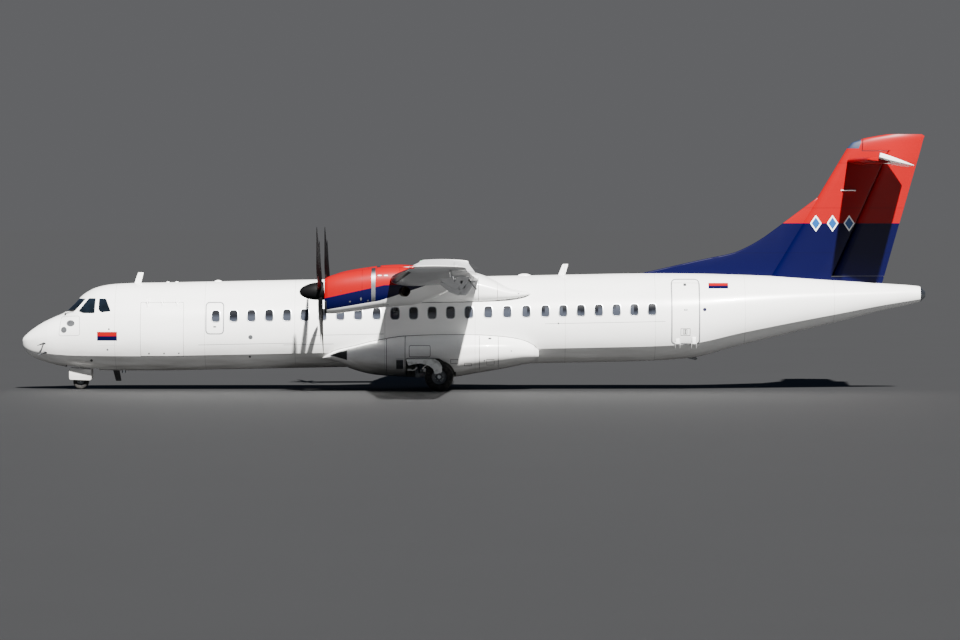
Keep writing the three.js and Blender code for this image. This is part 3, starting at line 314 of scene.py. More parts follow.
def painted(shape, number, where=None):
    """The shape with a paint number on all faces, or on those whose centres pass a test."""
    if where is None:
        return Shape(shape.points, shape.faces, number)
    centres = np.array([shape.points[list(face)].mean(axis=0) for face in shape.faces])
    return Shape(shape.points, shape.faces, np.where(where(centres), number, shape.paint))


def loft(rings, paint=0, looped=False):
    """A closed skin through rings of points. A ring of one point closes to a tip."""
    rings = [np.asarray(ring, dtype=float).reshape(-1, 3) for ring in rings]
    starts = np.cumsum([0] + [len(ring) for ring in rings]).tolist()
    last = len(rings) - 1
    faces = []
    for a, b in [(k, k + 1) for k in range(last)] + [(last, 0)] * looped:
        count = max(len(rings[a]), len(rings[b]))
        for i in range(count):
            j = (i + 1) % count
            near = (starts[a] + i, starts[a] + j) if len(rings[a]) > 1 else (starts[a],)
            far = (starts[b] + j, starts[b] + i) if len(rings[b]) > 1 else (starts[b],)
            faces.append(near + far)
    if not looped:
        front, back = (tuple(range(starts[k], starts[k + 1])) for k in (0, last))
        faces += [cap for cap in (front[::-1], back) if len(cap) > 1]
    return facing_out(np.vstack(rings), faces, paint)


def at_depth(outline, depth, axis):
    """A flat outline's points in space, at a depth along the axis that it faces."""
    return np.insert(np.asarray(outline, float), "xyz".index(axis), depth, axis=1)


def prism(outline, low, high, axis="y", paint=0):
    """A flat outline given its thickness along an axis."""
    return loft([at_depth(outline, depth, axis) for depth in (low, high)], paint)


def inset(outline, amount):
    """A flat outline moved in by an amount, or out where it is below zero."""
    points = np.asarray(outline, float)
    ahead = np.roll(points, -1, axis=0) - points
    area = np.sum(points[:, 0] * np.roll(points[:, 1], -1) - np.roll(points[:, 0], -1) * points[:, 1])
    normals = np.stack([-ahead[:, 1], ahead[:, 0]], axis=1) * np.sign(area)
    normals /= np.maximum(np.linalg.norm(normals, axis=1, keepdims=True), 1e-9)
    before = np.roll(normals, 1, axis=0)
    share = 1 + np.sum(normals * before, axis=1, keepdims=True)
    return points + amount * (normals + before) / np.maximum(share, 0.35)


CUSHION_STEPS = 3


def cushion(outline, low, high, edge, axis="y", paint=0):
    """A plate whose rims are rounded over."""
    angles = np.linspace(math.pi / 2, 0, CUSHION_STEPS + 1)
    turn = [(edge * (1 - math.sin(a)), edge * (1 - math.cos(a))) for a in angles]
    steps = [(low + depth, amount) for depth, amount in turn]
    steps += [(high - depth, amount) for depth, amount in reversed(turn)]
    return loft([at_depth(inset(outline, amount), depth, axis) for depth, amount in steps], paint)


def rectangle(x0, x1, z0, z1):
    return [(x0, z0), (x1, z0), (x1, z1), (x0, z1)]


def box(x0, x1, y0, y1, z0, z1, paint=0):
    return prism(rectangle(x0, x1, z0, z1), y0, y1, "y", paint)


def rounded(corners, radius, steps=5):
    """An outline with its corners rounded off. The radius is one number, or one for each corner."""
    corners = np.asarray(corners, float)
    radii = np.broadcast_to(radius, len(corners))
    points = []
    for k, corner in enumerate(corners):
        ends = []
        for other in (corners[k - 1], corners[(k + 1) % len(corners)]):
            edge = other - corner
            length = np.linalg.norm(edge)
            ends.append(corner + edge / length * min(radii[k], 0.48 * length))
        for t in np.linspace(0, 1, steps + 1):
            points.append((1 - t) ** 2 * ends[0] + 2 * t * (1 - t) * corner + t ** 2 * ends[1])
    return np.array(points)


def oval(x, z, half_width, half_height, power=2.0, steps=32):
    """A round or squared-off oval outline."""
    angles = np.arange(steps) * 2 * np.pi / steps
    c, s = np.cos(angles), np.sin(angles)
    across = np.sign(c) * np.abs(c) ** (2 / power) * half_width
    up = np.sign(s) * np.abs(s) ** (2 / power) * half_height
    return np.stack([x + across, z + up], axis=1)


def dense(outline, step):
    """An outline with points no further apart than a step."""
    outline = np.asarray(outline, float)
    points = []
    for a, b in zip(outline, np.roll(outline, -1, axis=0)):
        count = max(int(np.ceil(np.linalg.norm(b - a) / step)), 1)
        points += [a + (b - a) * k / count for k in range(count)]
    return np.array(points)


def circle_frame(start, end):
    """Three directions: along a line, and two across it."""
    along = Vector(end) - Vector(start)
    along.normalize()
    side = along.orthogonal().normalized()
    return np.array(along), np.array(side), np.array(along.cross(side))


def circle(side, up, count):
    """Points round a circle of radius 1 that lies in two directions."""
    angles = np.arange(count) * 2 * np.pi / count
    return np.outer(np.cos(angles), side) + np.outer(np.sin(angles), up)


def lathe(profile, start, end, sides=32, paint=0, looped=False):
    """A profile of distance from the start and radius, turned about the line from start to end."""
    along, side, up = circle_frame(start, end)
    wheel = circle(side, up, sides)
    rings = []
    for distance, radius in profile:
        middle = np.asarray(start, float) + along * distance
        rings.append(middle + wheel * radius if radius > 0 else middle)
    return loft(rings, paint, looped)


def bar(start, end, radius, end_radius=None, sides=24, edge=0.0, paint=0):
    """A round bar, with its rims rounded over by an edge."""
    length = float(np.linalg.norm(np.subtract(end, start)))
    last = radius if end_radius is None else end_radius
    profile = [(0, radius - edge), (edge, radius), (length - edge, last), (length, last - edge)]
    if not edge:
        profile = [(0, radius), (length, last)]
    return lathe(profile, start, end, sides, paint)


def hose(route, radius, sides=10, paint=0):
    """A round tube along a route of points."""
    route = np.asarray(route, float)
    rings = []
    for k, point in enumerate(route):
        ahead = route[min(k + 1, len(route) - 1)] - route[max(k - 1, 0)]
        _, side, up = circle_frame((0, 0, 0), ahead)
        if rings:
            side = side_before - np.dot(side_before, ahead) * ahead / np.dot(ahead, ahead)
            side /= np.linalg.norm(side)
            up = np.cross(ahead / np.linalg.norm(ahead), side)
        side_before = side
        rings.append(point + radius * circle(side, up, sides))
    return loft(rings, paint)


def curve_through(points, steps=6):
    """A smooth line through points, for hoses and pipes."""
    points = np.asarray(points, float)
    padded = np.vstack([2 * points[0] - points[1], points, 2 * points[-1] - points[-2]])
    line = []
    for k in range(1, len(padded) - 2):
        p0, p1, p2, p3 = padded[k - 1:k + 3]
        for t in np.arange(steps) / steps:
            bend = (2 * p0 - 5 * p1 + 4 * p2 - p3) * t ** 2 + (3 * p1 - p0 - 3 * p2 + p3) * t ** 3
            line.append(0.5 * (2 * p1 + (p2 - p0) * t + bend))
    return np.array(line + [points[-1]])


# Shapes in Blender

CARVE_SLOTS = 6


def add_object(name, data):
    obj = bpy.data.objects.new(name, data)
    bpy.context.scene.collection.objects.link(obj)
    return obj


def to_mesh(name, shape):
    mesh = bpy.data.meshes.new(name)
    mesh.from_pydata((shape.points * MM + (NOSE_X, 0, 0)).tolist(), [], shape.faces)
    mesh.polygons.foreach_set("material_index", shape.paint.astype(np.int32))
    mesh.update()
    return mesh


def from_mesh(mesh):
    points = np.empty(len(mesh.vertices) * 3)
    mesh.vertices.foreach_get("co", points)
    paint = np.empty(len(mesh.polygons), dtype=np.int32)
    mesh.polygons.foreach_get("material_index", paint)
    faces = [tuple(polygon.vertices) for polygon in mesh.polygons]
    return Shape((points.reshape(-1, 3) - (NOSE_X, 0, 0)) / MM, faces, paint)


def scratch_object(shape, material):
    mesh = to_mesh("scratch", shape)
    for _ in range(CARVE_SLOTS):
        mesh.materials.append(material)
    return add_object("scratch", mesh)


def carved(shape, *tools, operation="DIFFERENCE"):
    """The shape with each tool cut out of it, or kept to the tool, or joined with it."""
    material = bpy.data.materials.new("scratch")
    for tool in tools:
        body, cutter = scratch_object(shape, material), scratch_object(tool, material)
        boolean = body.modifiers.new("cut", "BOOLEAN")
        boolean.operation = operation
        boolean.solver = "MANIFOLD"
        boolean.object = cutter
        result = bpy.data.meshes.new_from_object(body.evaluated_get(bpy.context.evaluated_depsgraph_get()))
        if not result.polygons:
            raise RuntimeError("a cut left nothing")
        shape = from_mesh(result)
        bpy.data.meshes.remove(result)
        for scratch in (body, cutter):
            mesh = scratch.data
            bpy.data.objects.remove(scratch)
            bpy.data.meshes.remove(mesh)
    bpy.data.materials.remove(material)
    return shape


def kept_in(shape, *tools):
    return carved(shape, *tools, operation="INTERSECT")


def piece(name, shape, finishes, body="airframe", sharp=30.0):
    """A finished piece that rides on a body."""
    mesh = to_mesh(name, shape)
    for title in finishes:
        mesh.materials.append(finished(title))
    mesh.shade_smooth()
    mesh.set_sharp_from_angle(angle=math.radians(sharp))
    obj = add_object(name, mesh)
    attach(obj, body)
    return obj


def skin(node, kind, shape, finishes, body="airframe", sharp=30.0):
    """A finished piece of a kind, in the place of a node of the frame."""
    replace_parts(piece(f"{node}_{kind}", shape, finishes, body, sharp), node)


# Curves and sections of the body

def table_at(table, x, warp=float):
    """A table's columns at x, on a smooth line through its rows that never overshoots them."""
    keys = [warp(row[0]) for row in table]
    key = min(max(warp(x), keys[0]), keys[-1])
    k = min(max(np.searchsorted(keys, key, side="right") - 1, 0), len(keys) - 2)
    rows = np.array(table, float)
    slopes = np.diff(rows, axis=0) / np.diff(keys)[:, None]

    def slope_at(j):
        if j == 0 or j == len(keys) - 1:
            return slopes[min(j, len(slopes) - 1)]
        before, after = slopes[j - 1], slopes[j]
        same_way = before * after > 0
        return np.where(same_way, 2 * before * after / np.where(same_way, before + after, 1), 0)

    span = keys[k + 1] - keys[k]
    t = (key - keys[k]) / span
    share = 3 * t ** 2 - 2 * t ** 3
    ends = rows[k] * (1 - share) + rows[k + 1] * share
    row = ends + span * (slope_at(k) * t * (1 - t) ** 2 - slope_at(k + 1) * t ** 2 * (1 - t))
    row[0] = x
    return row


def fuselage_row(x):
    return barrel_row(x) if BARREL_FROM <= x <= BARREL_TO else table_at(FUSELAGE, x, math.sqrt)


TOP_STEPS, SIDE_STEPS, BELLY_STEPS = 20, 9, 10


def fuselage_sizes(x, grow):
    """Height of the widest line, half width, reach above and below it, and depth of the side's own oval."""
    _, top, middle, bottom, half_width = fuselage_row(x)
    w, up, down = (max(length + grow, 1) for length in (half_width, top - middle, middle - bottom))
    return middle, w, up, down, CREASE_DEPTH * down / math.sqrt(1 - CREASE_WIDTH ** 2)


def fuselage_ring(x, grow=0.0):
    """Fuselage section: round above, then a crease and a flatter belly. A positive grow moves it out."""
    middle, w, up, down, side_depth = fuselage_sizes(x, grow)
    half = []
    for i in range(TOP_STEPS):
        angle = math.pi / 2 * (1 - i / TOP_STEPS)
        half.append((w * math.cos(angle), middle + up * math.sin(angle)))
    for i in range(SIDE_STEPS):
        angle = math.acos(CREASE_WIDTH) * i / SIDE_STEPS
        half.append((w * math.cos(angle), middle - side_depth * math.sin(angle)))
    for i in range(BELLY_STEPS + 1):
        angle = BELLY_ANGLE * (1 - i / BELLY_STEPS)
        rise = (math.cos(angle) - math.cos(BELLY_ANGLE)) / (1 - math.cos(BELLY_ANGLE))
        depth = CREASE_DEPTH + (1 - CREASE_DEPTH) * rise
        half.append((CREASE_WIDTH * w * math.sin(angle) / math.sin(BELLY_ANGLE), middle - down * depth))
    other = [(-y, z) for y, z in half[-2:0:-1]]
    return [(x, y, z) for y, z in half + other]


def skin_width(x, z, grow=0.0):
    """Half width of the fuselage at a height."""
    middle, w, up, down, side_depth = fuselage_sizes(x, grow)
    if z >= middle:
        return w * math.sqrt(max(1 - ((z - middle) / up) ** 2, 0))
    depth = min((middle - z) / down, 1)
    if depth <= CREASE_DEPTH:
        return w * math.sqrt(max(1 - ((middle - z) / side_depth) ** 2, 0))
    rise = (depth - CREASE_DEPTH) / (1 - CREASE_DEPTH)
    cosine = math.cos(BELLY_ANGLE) + rise * (1 - math.cos(BELLY_ANGLE))
    return CREASE_WIDTH * w * math.sin(math.acos(min(cosine, 1))) / math.sin(BELLY_ANGLE)


NOSE_STATIONS = [k ** 2 for k in range(1, 66)]  # closer together towards the nose tip
BARREL_STEP, TAIL_STEP, LEAST_STEP = 700, 150, 20


def fuselage_loft(start, end, grow=0.0, paint=0):
    stations = [*NOSE_STATIONS, *range(BARREL_FROM, BARREL_TO, BARREL_STEP)]
    stations += range(BARREL_TO, int(LENGTH), TAIL_STEP)
    inside = [x for x in stations if start + LEAST_STEP < x < end - LEAST_STEP]
    return loft([fuselage_ring(x, grow) for x in (start, *inside, end)], paint)


def on_skin(x, z, side, grow=0.0):
    return (x, side * skin_width(x, z, grow), z)


def band(outline, profile, side, paint=0, place=on_skin):
    """A band along an outline on a body's side. Its profile: how far out of the outline, and how proud."""
    edges = {offset: inset(outline, -offset) for offset, _ in profile}
    rings = [[place(*edges[offset][i], side, grow) for offset, grow in profile] for i in range(len(outline))]
    return loft(rings, paint, looped=True)


def line_on(outline, width, side, paint=0, place=on_skin, proud=1.0):
    """A painted line or seal round an outline."""
    edge = 0.15 * width
    profile = [(0, -3), (0, 0), (edge, proud), (width - edge, proud), (width, 0), (width, -3)]
    return band(outline, profile, side, paint, place)


PAD_STEP = 45


def pad(outline, low, high, side, paint=0, place=on_skin):
    """A plate that follows a body's side, between two heights above its skin."""
    outline = np.asarray(outline, float)
    middle = outline.mean(axis=0)
    reach = np.linalg.norm(outline - middle, axis=1).max()
    steps = np.linspace(0, 1, max(math.ceil(reach / PAD_STEP), 3) + 1)[1:]
    shares = [(share, low) for share in steps] + [(share, high) for share in steps[::-1]]
    rings = [[place(*(middle + (p - middle) * share), side, grow) for p in outline] for share, grow in shares]
    tips = [[place(*middle, side, grow)] for grow in (low, high)]
    return loft([tips[0], *rings, tips[1]], paint)


def rounded_place(table, power, y0=0.0):
    """A function that finds the point of a squared-off oval body's side at x and z."""
    def place(x, z, side, grow=0.0):
        _, a, b, half_width = table_at(table, x)
        share = min(abs(z - (a + b) / 2) / (abs(a - b) / 2 + grow), 1)
        return (x, y0 + side * (half_width + grow) * (1 - share ** power) ** (1 / power), z)
    return place


def rounded_loft(table, power, steps, step, y0=0.0):
    """A squared-off oval body through a table's rows of x, top, bottom and half width, and between them."""
    first, last = table[0][0], table[-1][0]
    between = np.linspace(first, last, max(int((last - first) / step), 1) + 1)[1:-1]
    rings = []
    for x in sorted({*between, *(row[0] for row in table)}):
        _, a, b, half_width = table_at(table, x)
        rings.append(at_depth(oval(y0, (a + b) / 2, half_width, abs(a - b) / 2, power, steps), x, "x"))
    return loft(rings)


# Aerofoils

EDGE_THICKNESS = 0.0025


def half_thickness(u, t):
    bulge = 0.2969 * math.sqrt(u) - 0.126 * u - 0.3516 * u ** 2 + 0.2843 * u ** 3 - 0.1036 * u ** 4
    return 5 * t * bulge + EDGE_THICKNESS * u


def camber_height(u, camber):
    return 4 * camber * u * (1 - u)


def foil_side(shares, thickness, camber, way):
    """Points on an aerofoil's upper side, where way is 1, or on its lower one, where it is -1."""
    return [(u, camber_height(u, camber) + way * half_thickness(u, thickness)) for u in shares]


def whole_outline(thickness, camber, steps=26):
    shares = [(1 - math.cos(math.pi * i / steps)) / 2 for i in range(steps + 1)]
    return foil_side(shares[::-1], thickness, camber, 1) + foil_side(shares[1:], thickness, camber, -1)


def moving_outline(thickness, camber, hinge, steps=8, nose_steps=14):
    """A moving surface behind its hinge, with a round nose about the hinge."""
    radius, middle = half_thickness(hinge, thickness), camber_height(hinge, camber)
    shares = [1 - (1 - hinge) * i / steps for i in range(steps + 1)]
    angles = [math.pi * (0.5 + i / nose_steps) for i in range(1, nose_steps)]
    nose = [(hinge + radius * math.cos(a), middle + radius * math.sin(a)) for a in angles]
    return [*foil_side(shares, thickness, camber, 1), *nose, *foil_side(shares[::-1], thickness, camber, -1)]


def station_at(stations, place):
    columns = np.array(stations, float).T
    return [place, *(float(np.interp(place, columns[0], column)) for column in columns[1:])]


def place_wing(station, u, w):
    """A chord share and a height on a wing station."""
    y, x, chord, z, _ = station
    c, s = math.cos(WING_INCIDENCE), math.sin(WING_INCIDENCE)
    return (x + chord * (u * c + w * s), y, z + chord * (w * c - u * s))


def place_tail(station, u, w):
    y, x, chord, _ = station
    return (x + chord * u, y, TAIL_Z + chord * w)


def place_fin(station, u, w):
    z, x, chord, _ = station
    return (x + chord * u, chord * w, z)


# Aerofoils of the surfaces: placing function, stations, whose last column is the thickness, and camber
WING_FOIL = (place_wing, WING, WING_CAMBER)
TAIL_FOIL, FIN_FOIL = (place_tail, TAILPLANE, 0), (place_fin, FIN, 0)
GROW_MIDDLE, GROW_ENDS = 0.4, 2.5  # chord share that stays when a section grows, and how much its ends move


def foil_loft(foil, stations, grow=0.0):
    """A surface through whole sections at some stations, moved out all round by a grow in mm."""
    place, _, camber = foil
    rings = []
    for station in stations:
        lift = grow / station[2]
        outline = []
        for u, w in whole_outline(station[-1], camber):
            outline.append((u + (u - GROW_MIDDLE) * lift * GROW_ENDS, w + math.copysign(lift, w)))
        rings.append([place(station, u, w) for u, w in outline])
    return loft(rings)


COVE_BACK, COVE_HALF = 1.15, 0.35


def cove(foil, span, hinge, gap, grow=0.0):
    """Room for a moving surface, from a gap ahead of its round nose, between two places along the span."""
    place, stations, _ = foil
    rings = []
    for along in (span[0] - grow, span[1] + grow):
        station, u = station_at(stations, along), hinge(along)
        front = u - half_thickness(u, station[-1]) - gap / station[2]
        corners = [(front, COVE_HALF), (COVE_BACK, COVE_HALF), (COVE_BACK, -COVE_HALF), (front, -COVE_HALF)]
        rings.append([place(station, a, b) for a, b in corners])
    return loft(rings)


def moving_surface(foil, span, hinge, step=600):
    """A surface that turns about its hinge, which is given as a share of the chord at each place."""
    place, stations, camber = foil
    rings = []
    for along in np.linspace(*span, max(int((span[1] - span[0]) / step), 1) + 1):
        station = station_at(stations, along)
        rings.append([place(station, u, w) for u, w in moving_outline(station[-1], camber, hinge(along))])
    return loft(rings)


# Finishes

def add_node(tree, kind, fields=None, sockets=None):
    """Add a node, set its fields, and give each named socket a value or another node's output."""
    node = tree.nodes.new("ShaderNode" + kind)
    for field, value in (fields or {}).items():
        setattr(node, field, value)
    for socket, value in (sockets or {}).items():
        if isinstance(value, bpy.types.Node):
            value = value.outputs[0]
        if isinstance(value, bpy.types.NodeSocket):
            tree.links.new(value, node.inputs[socket])
        else:
            node.inputs[socket].default_value = value
    return node


def new_finish(title, look):
    """A material with one Principled shader, whose uniform values sit on its own sockets."""
    material = bpy.data.materials.new(title)
    material.use_nodes = True
    tree = material.node_tree
    tree.nodes.clear()
    shader = add_node(tree, "BsdfPrincipled", sockets={name.replace("_", " "): look[name] for name in look})
    add_node(tree, "OutputMaterial", sockets={"Surface": shader})
    return material, tree, shader, add_node(tree, "TexCoord").outputs["Object"]


def rgba(colour, share=1.0):
    """A hex colour, or one of the paints by its name, times a share and with the alpha that sockets want."""
    linear = getattr(paints(), colour) if hasattr(paints(), colour) else hex_colour(colour)
    return (*(channel * share for channel in linear), 1.0)


def per_mm(size):
    """The texture scale whose features are this many mm across."""
    return 1 / (size * MM)


def mottled(title, first, second, blotch, spread=(0.35, 0.7), grain=12, depth=0.0, stretch=(1, 1, 1), **look):
    """Two tones that blend in blotches of a size, over a fine relief of a depth, in mm. The second tone may
    be a share of the first."""
    material, tree, shader, place = new_finish(title, look)
    place = add_node(tree, "Mapping", sockets={"Vector": place, "Scale": stretch})
    blotches = add_node(tree, "TexNoise", sockets={"Vector": place, "Scale": per_mm(blotch), "Detail": 4.0})
    low, high = spread
    share = add_node(tree, "MapRange", sockets={"Value": blotches, "From Min": low, "From Max": high})
    second = rgba(second) if isinstance(second, str) else rgba(first, second)
    tones = {"Fac": share, "Color1": rgba(first), "Color2": second}
    tree.links.new(add_node(tree, "MixRGB", sockets=tones).outputs[0], shader.inputs["Base Color"])
    if depth:
        relief = add_node(tree, "TexNoise", sockets={"Vector": place, "Scale": per_mm(grain), "Detail": 3.0})
        bump = add_node(tree, "Bump", sockets={"Height": relief, "Distance": depth * MM})
        tree.links.new(bump.outputs["Normal"], shader.inputs["Normal"])
    return material


SKIN_PITCH, SKIN_SHIFT = 2.69, -0.042  # metres between skin plates along the fuselage, and their shift
NO_JOINT = 90.0  # a pitch longer than the aircraft
PLATE_WAVE = 380  # mm across the shallow waves between a plate's frames
STREAK_SIZE = 300
DARKENING_FROM, DARKENING_TO = 1.5, 0.6  # heights between which the paint grows darker towards the bottom
LOW_TONE = "6b655e"
FADE_SHARE = 0.6
JOINT_DEPTH, JOINT_SHARE, JOINT_TONE = 0.5, 0.55, 0.3
SKIN_RELIEF = 1.2


def sprayed(title, colour, roughness, shine=0.35, film=0.0, along="X", pitch=SKIN_PITCH, tint=1.0):
    """Topcoat sprayed over skin plates: a soft wet shine, faint joints and waves, and a grey-brown darkening
    towards the bottom.
    """
    look = {
        "Roughness": roughness, "Specular_IOR_Level": shine, "Coat_Weight": shine / 3, "Coat_Roughness": 0.06}
    material, tree, shader, place = new_finish(title, look)
    axes = add_node(tree, "SeparateXYZ", sockets={"Vector": place})
    streaks = add_node(tree, "Mapping", sockets={"Vector": place, "Scale": (0.25, 1, 1)})
    streaks = {"Vector": streaks, "Scale": per_mm(STREAK_SIZE), "Detail": 4.0}
    streaks = add_node(tree, "TexNoise", sockets=streaks)
    fade = {"Value": streaks, "From Min": 0.4, "From Max": 0.75, "To Max": 0.12}
    fade = add_node(tree, "MapRange", sockets=fade)
    tones = {"Fac": fade, "Color1": rgba(colour, tint), "Color2": rgba(colour, tint * FADE_SHARE)}
    base = add_node(tree, "MixRGB", sockets=tones)
    # Towards the bottom the paint turns a darker grey-brown, in streaks
    low = {"Value": axes.outputs["Z"], "From Min": DARKENING_FROM, "From Max": DARKENING_TO, "To Max": 2 * film}
    low = add_node(tree, "MapRange", sockets=low)
    share = add_node(tree, "Math", {"operation": "MULTIPLY"}, {0: low, 1: streaks})
    base = add_node(tree, "MixRGB", sockets={"Fac": share, "Color1": base, "Color2": rgba(LOW_TONE)})
    shifted = add_node(tree, "Math", {"operation": "ADD"}, {0: axes.outputs[along], 1: SKIN_SHIFT})
    distance = add_node(tree, "Math", {"operation": "PINGPONG"}, {0: shifted, 1: pitch / 2})
    joints = add_node(tree, "Math", {"operation": "LESS_THAN"}, {0: distance, 1: sizes().seam / 2})
    share = add_node(tree, "Math", {"operation": "MULTIPLY"}, {0: joints, 1: JOINT_SHARE})
    tones = {"Fac": share, "Color1": base, "Color2": rgba(colour, tint * JOINT_TONE)}
    base = add_node(tree, "MixRGB", sockets=tones)
    tree.links.new(base.outputs[0], shader.inputs["Base Color"])
    waves = add_node(tree, "TexNoise", sockets={"Vector": place, "Scale": per_mm(PLATE_WAVE), "Detail": 1.0})
    height = {0: joints, 1: -JOINT_DEPTH, 2: waves}
    height = add_node(tree, "Math", {"operation": "MULTIPLY_ADD"}, height)
    bump = add_node(tree, "Bump", sockets={"Height": height, "Distance": SKIN_RELIEF * MM, "Strength": 0.5})
    tree.links.new(bump.outputs["Normal"], shader.inputs["Normal"])
    return material


# x of the first window, rise of the row, and its height there
WINDOW_FIRST, WINDOW_SLOPE, WINDOW_Z = 5881, 0.0157, 2208
WINDOW_PITCHES = [(8, 531), (6, 552), (4, 568), (6, 531)]  # how many windows follow, and how far apart
# Metres from a window's middle up to where its painted shade begins, least and most, and half the softness of
# that edge
SHADE_EDGE_RANGE, SHADE_EDGE_SOFTNESS = (-0.08, 0.16), 0.06


def cabin_glass(title):
    """Stretched acrylic: a dull grey below, nearly black above, where each frame's depth is in shade."""
    look = {"Roughness": 0.12, "IOR": 1.49, "Coat_Weight": 0.3, "Coat_Roughness": 0.05}
    material, tree, shader, place = new_finish(title, look)
    axes = add_node(tree, "SeparateXYZ", sockets={"Vector": place})
    slope = {0: axes.outputs["X"], 1: -WINDOW_SLOPE, 2: axes.outputs["Z"]}
    height = add_node(tree, "Math", {"operation": "MULTIPLY_ADD"}, slope)
    pitch = WINDOW_PITCHES[0][1] * MM
    steps = add_node(tree, "Math", {"operation": "SNAP"}, {0: axes.outputs["X"], 1: pitch})
    chance = add_node(tree, "TexWhiteNoise", {"noise_dimensions": "1D"}, {"W": steps}).outputs["Value"]
    # Painted shade darkens each pane above an edge whose height differs from window to window
    low, high = SHADE_EDGE_RANGE
    shade_edge = add_node(tree, "MapRange", sockets={"Value": chance, "To Min": low, "To Max": high})
    over = add_node(tree, "Math", {"operation": "SUBTRACT"}, {0: height, 1: shade_edge})
    middle = WINDOW_Z * MM - WINDOW_SLOPE * (NOSE_X + WINDOW_FIRST * MM)
    span = {"Value": over, "From Min": middle - SHADE_EDGE_SOFTNESS, "From Max": middle + SHADE_EDGE_SOFTNESS}
    pale = add_node(tree, "MapRange", sockets=span)
    tones = {"Fac": pale, "Color1": rgba("343841"), "Color2": rgba("0d0f14")}
    tree.links.new(add_node(tree, "MixRGB", sockets=tones).outputs[0], shader.inputs["Base Color"])
    return material


LENS = {"Roughness": 0.06, "IOR": 1.49, "Coat_Weight": 0.8}
PANE = {"spread": (0.35, 0.65), "Roughness": 0.05, "IOR": 1.52, "Coat_Weight": 0.6, "Coat_Roughness": 0.02}
# Finishes are named for the real material and how its surface was made. The comment above each says what that
# gives the eye. The sprayed ones have a paint, a roughness and what differs from the body's.
SPRAYED = {
    # Bright and glossy, a little darker and browner towards the bottom
    "white_polyurethane_sprayed": ("white", 0.28, {"film": 0.5}),
    # A clear warm red that keeps its colour in the highlights
    "red_polyurethane_sprayed": ("red", 0.36, {"shine": 0.15, "along": "Z", "pitch": 1.35}),
    # A deep blue that looks nearly black where it faces away
    "blue_polyurethane_sprayed": ("blue", 0.34, {"shine": 0.15, "along": "Z", "pitch": 1.35}),
    # The tail's red, with the joints of the engine covers
    "nacelle_red_sprayed": ("red", 0.36, {"shine": 0.15, "pitch": 1.1}),
    # The tail's blue, with the joints of the engine covers
    "nacelle_blue_sprayed": ("blue", 0.34, {"shine": 0.15, "pitch": 1.1}),
    # A flat clear sky blue
    "light_blue_polyurethane": ("light_blue", 0.3, {"pitch": NO_JOINT}),
    # A flatter grey than the body's, with joints across the span
    "wing_grey_polyurethane": ("grey", 0.45, {"along": "Y", "pitch": 1.18}),
    # Moulded fibreglass under a rubbery coat: the same white, less gloss, and no plate joints
    "radome_erosion_coat": ("white", 0.45, {"tint": 0.95, "film": 0.5, "pitch": NO_JOINT}),
}
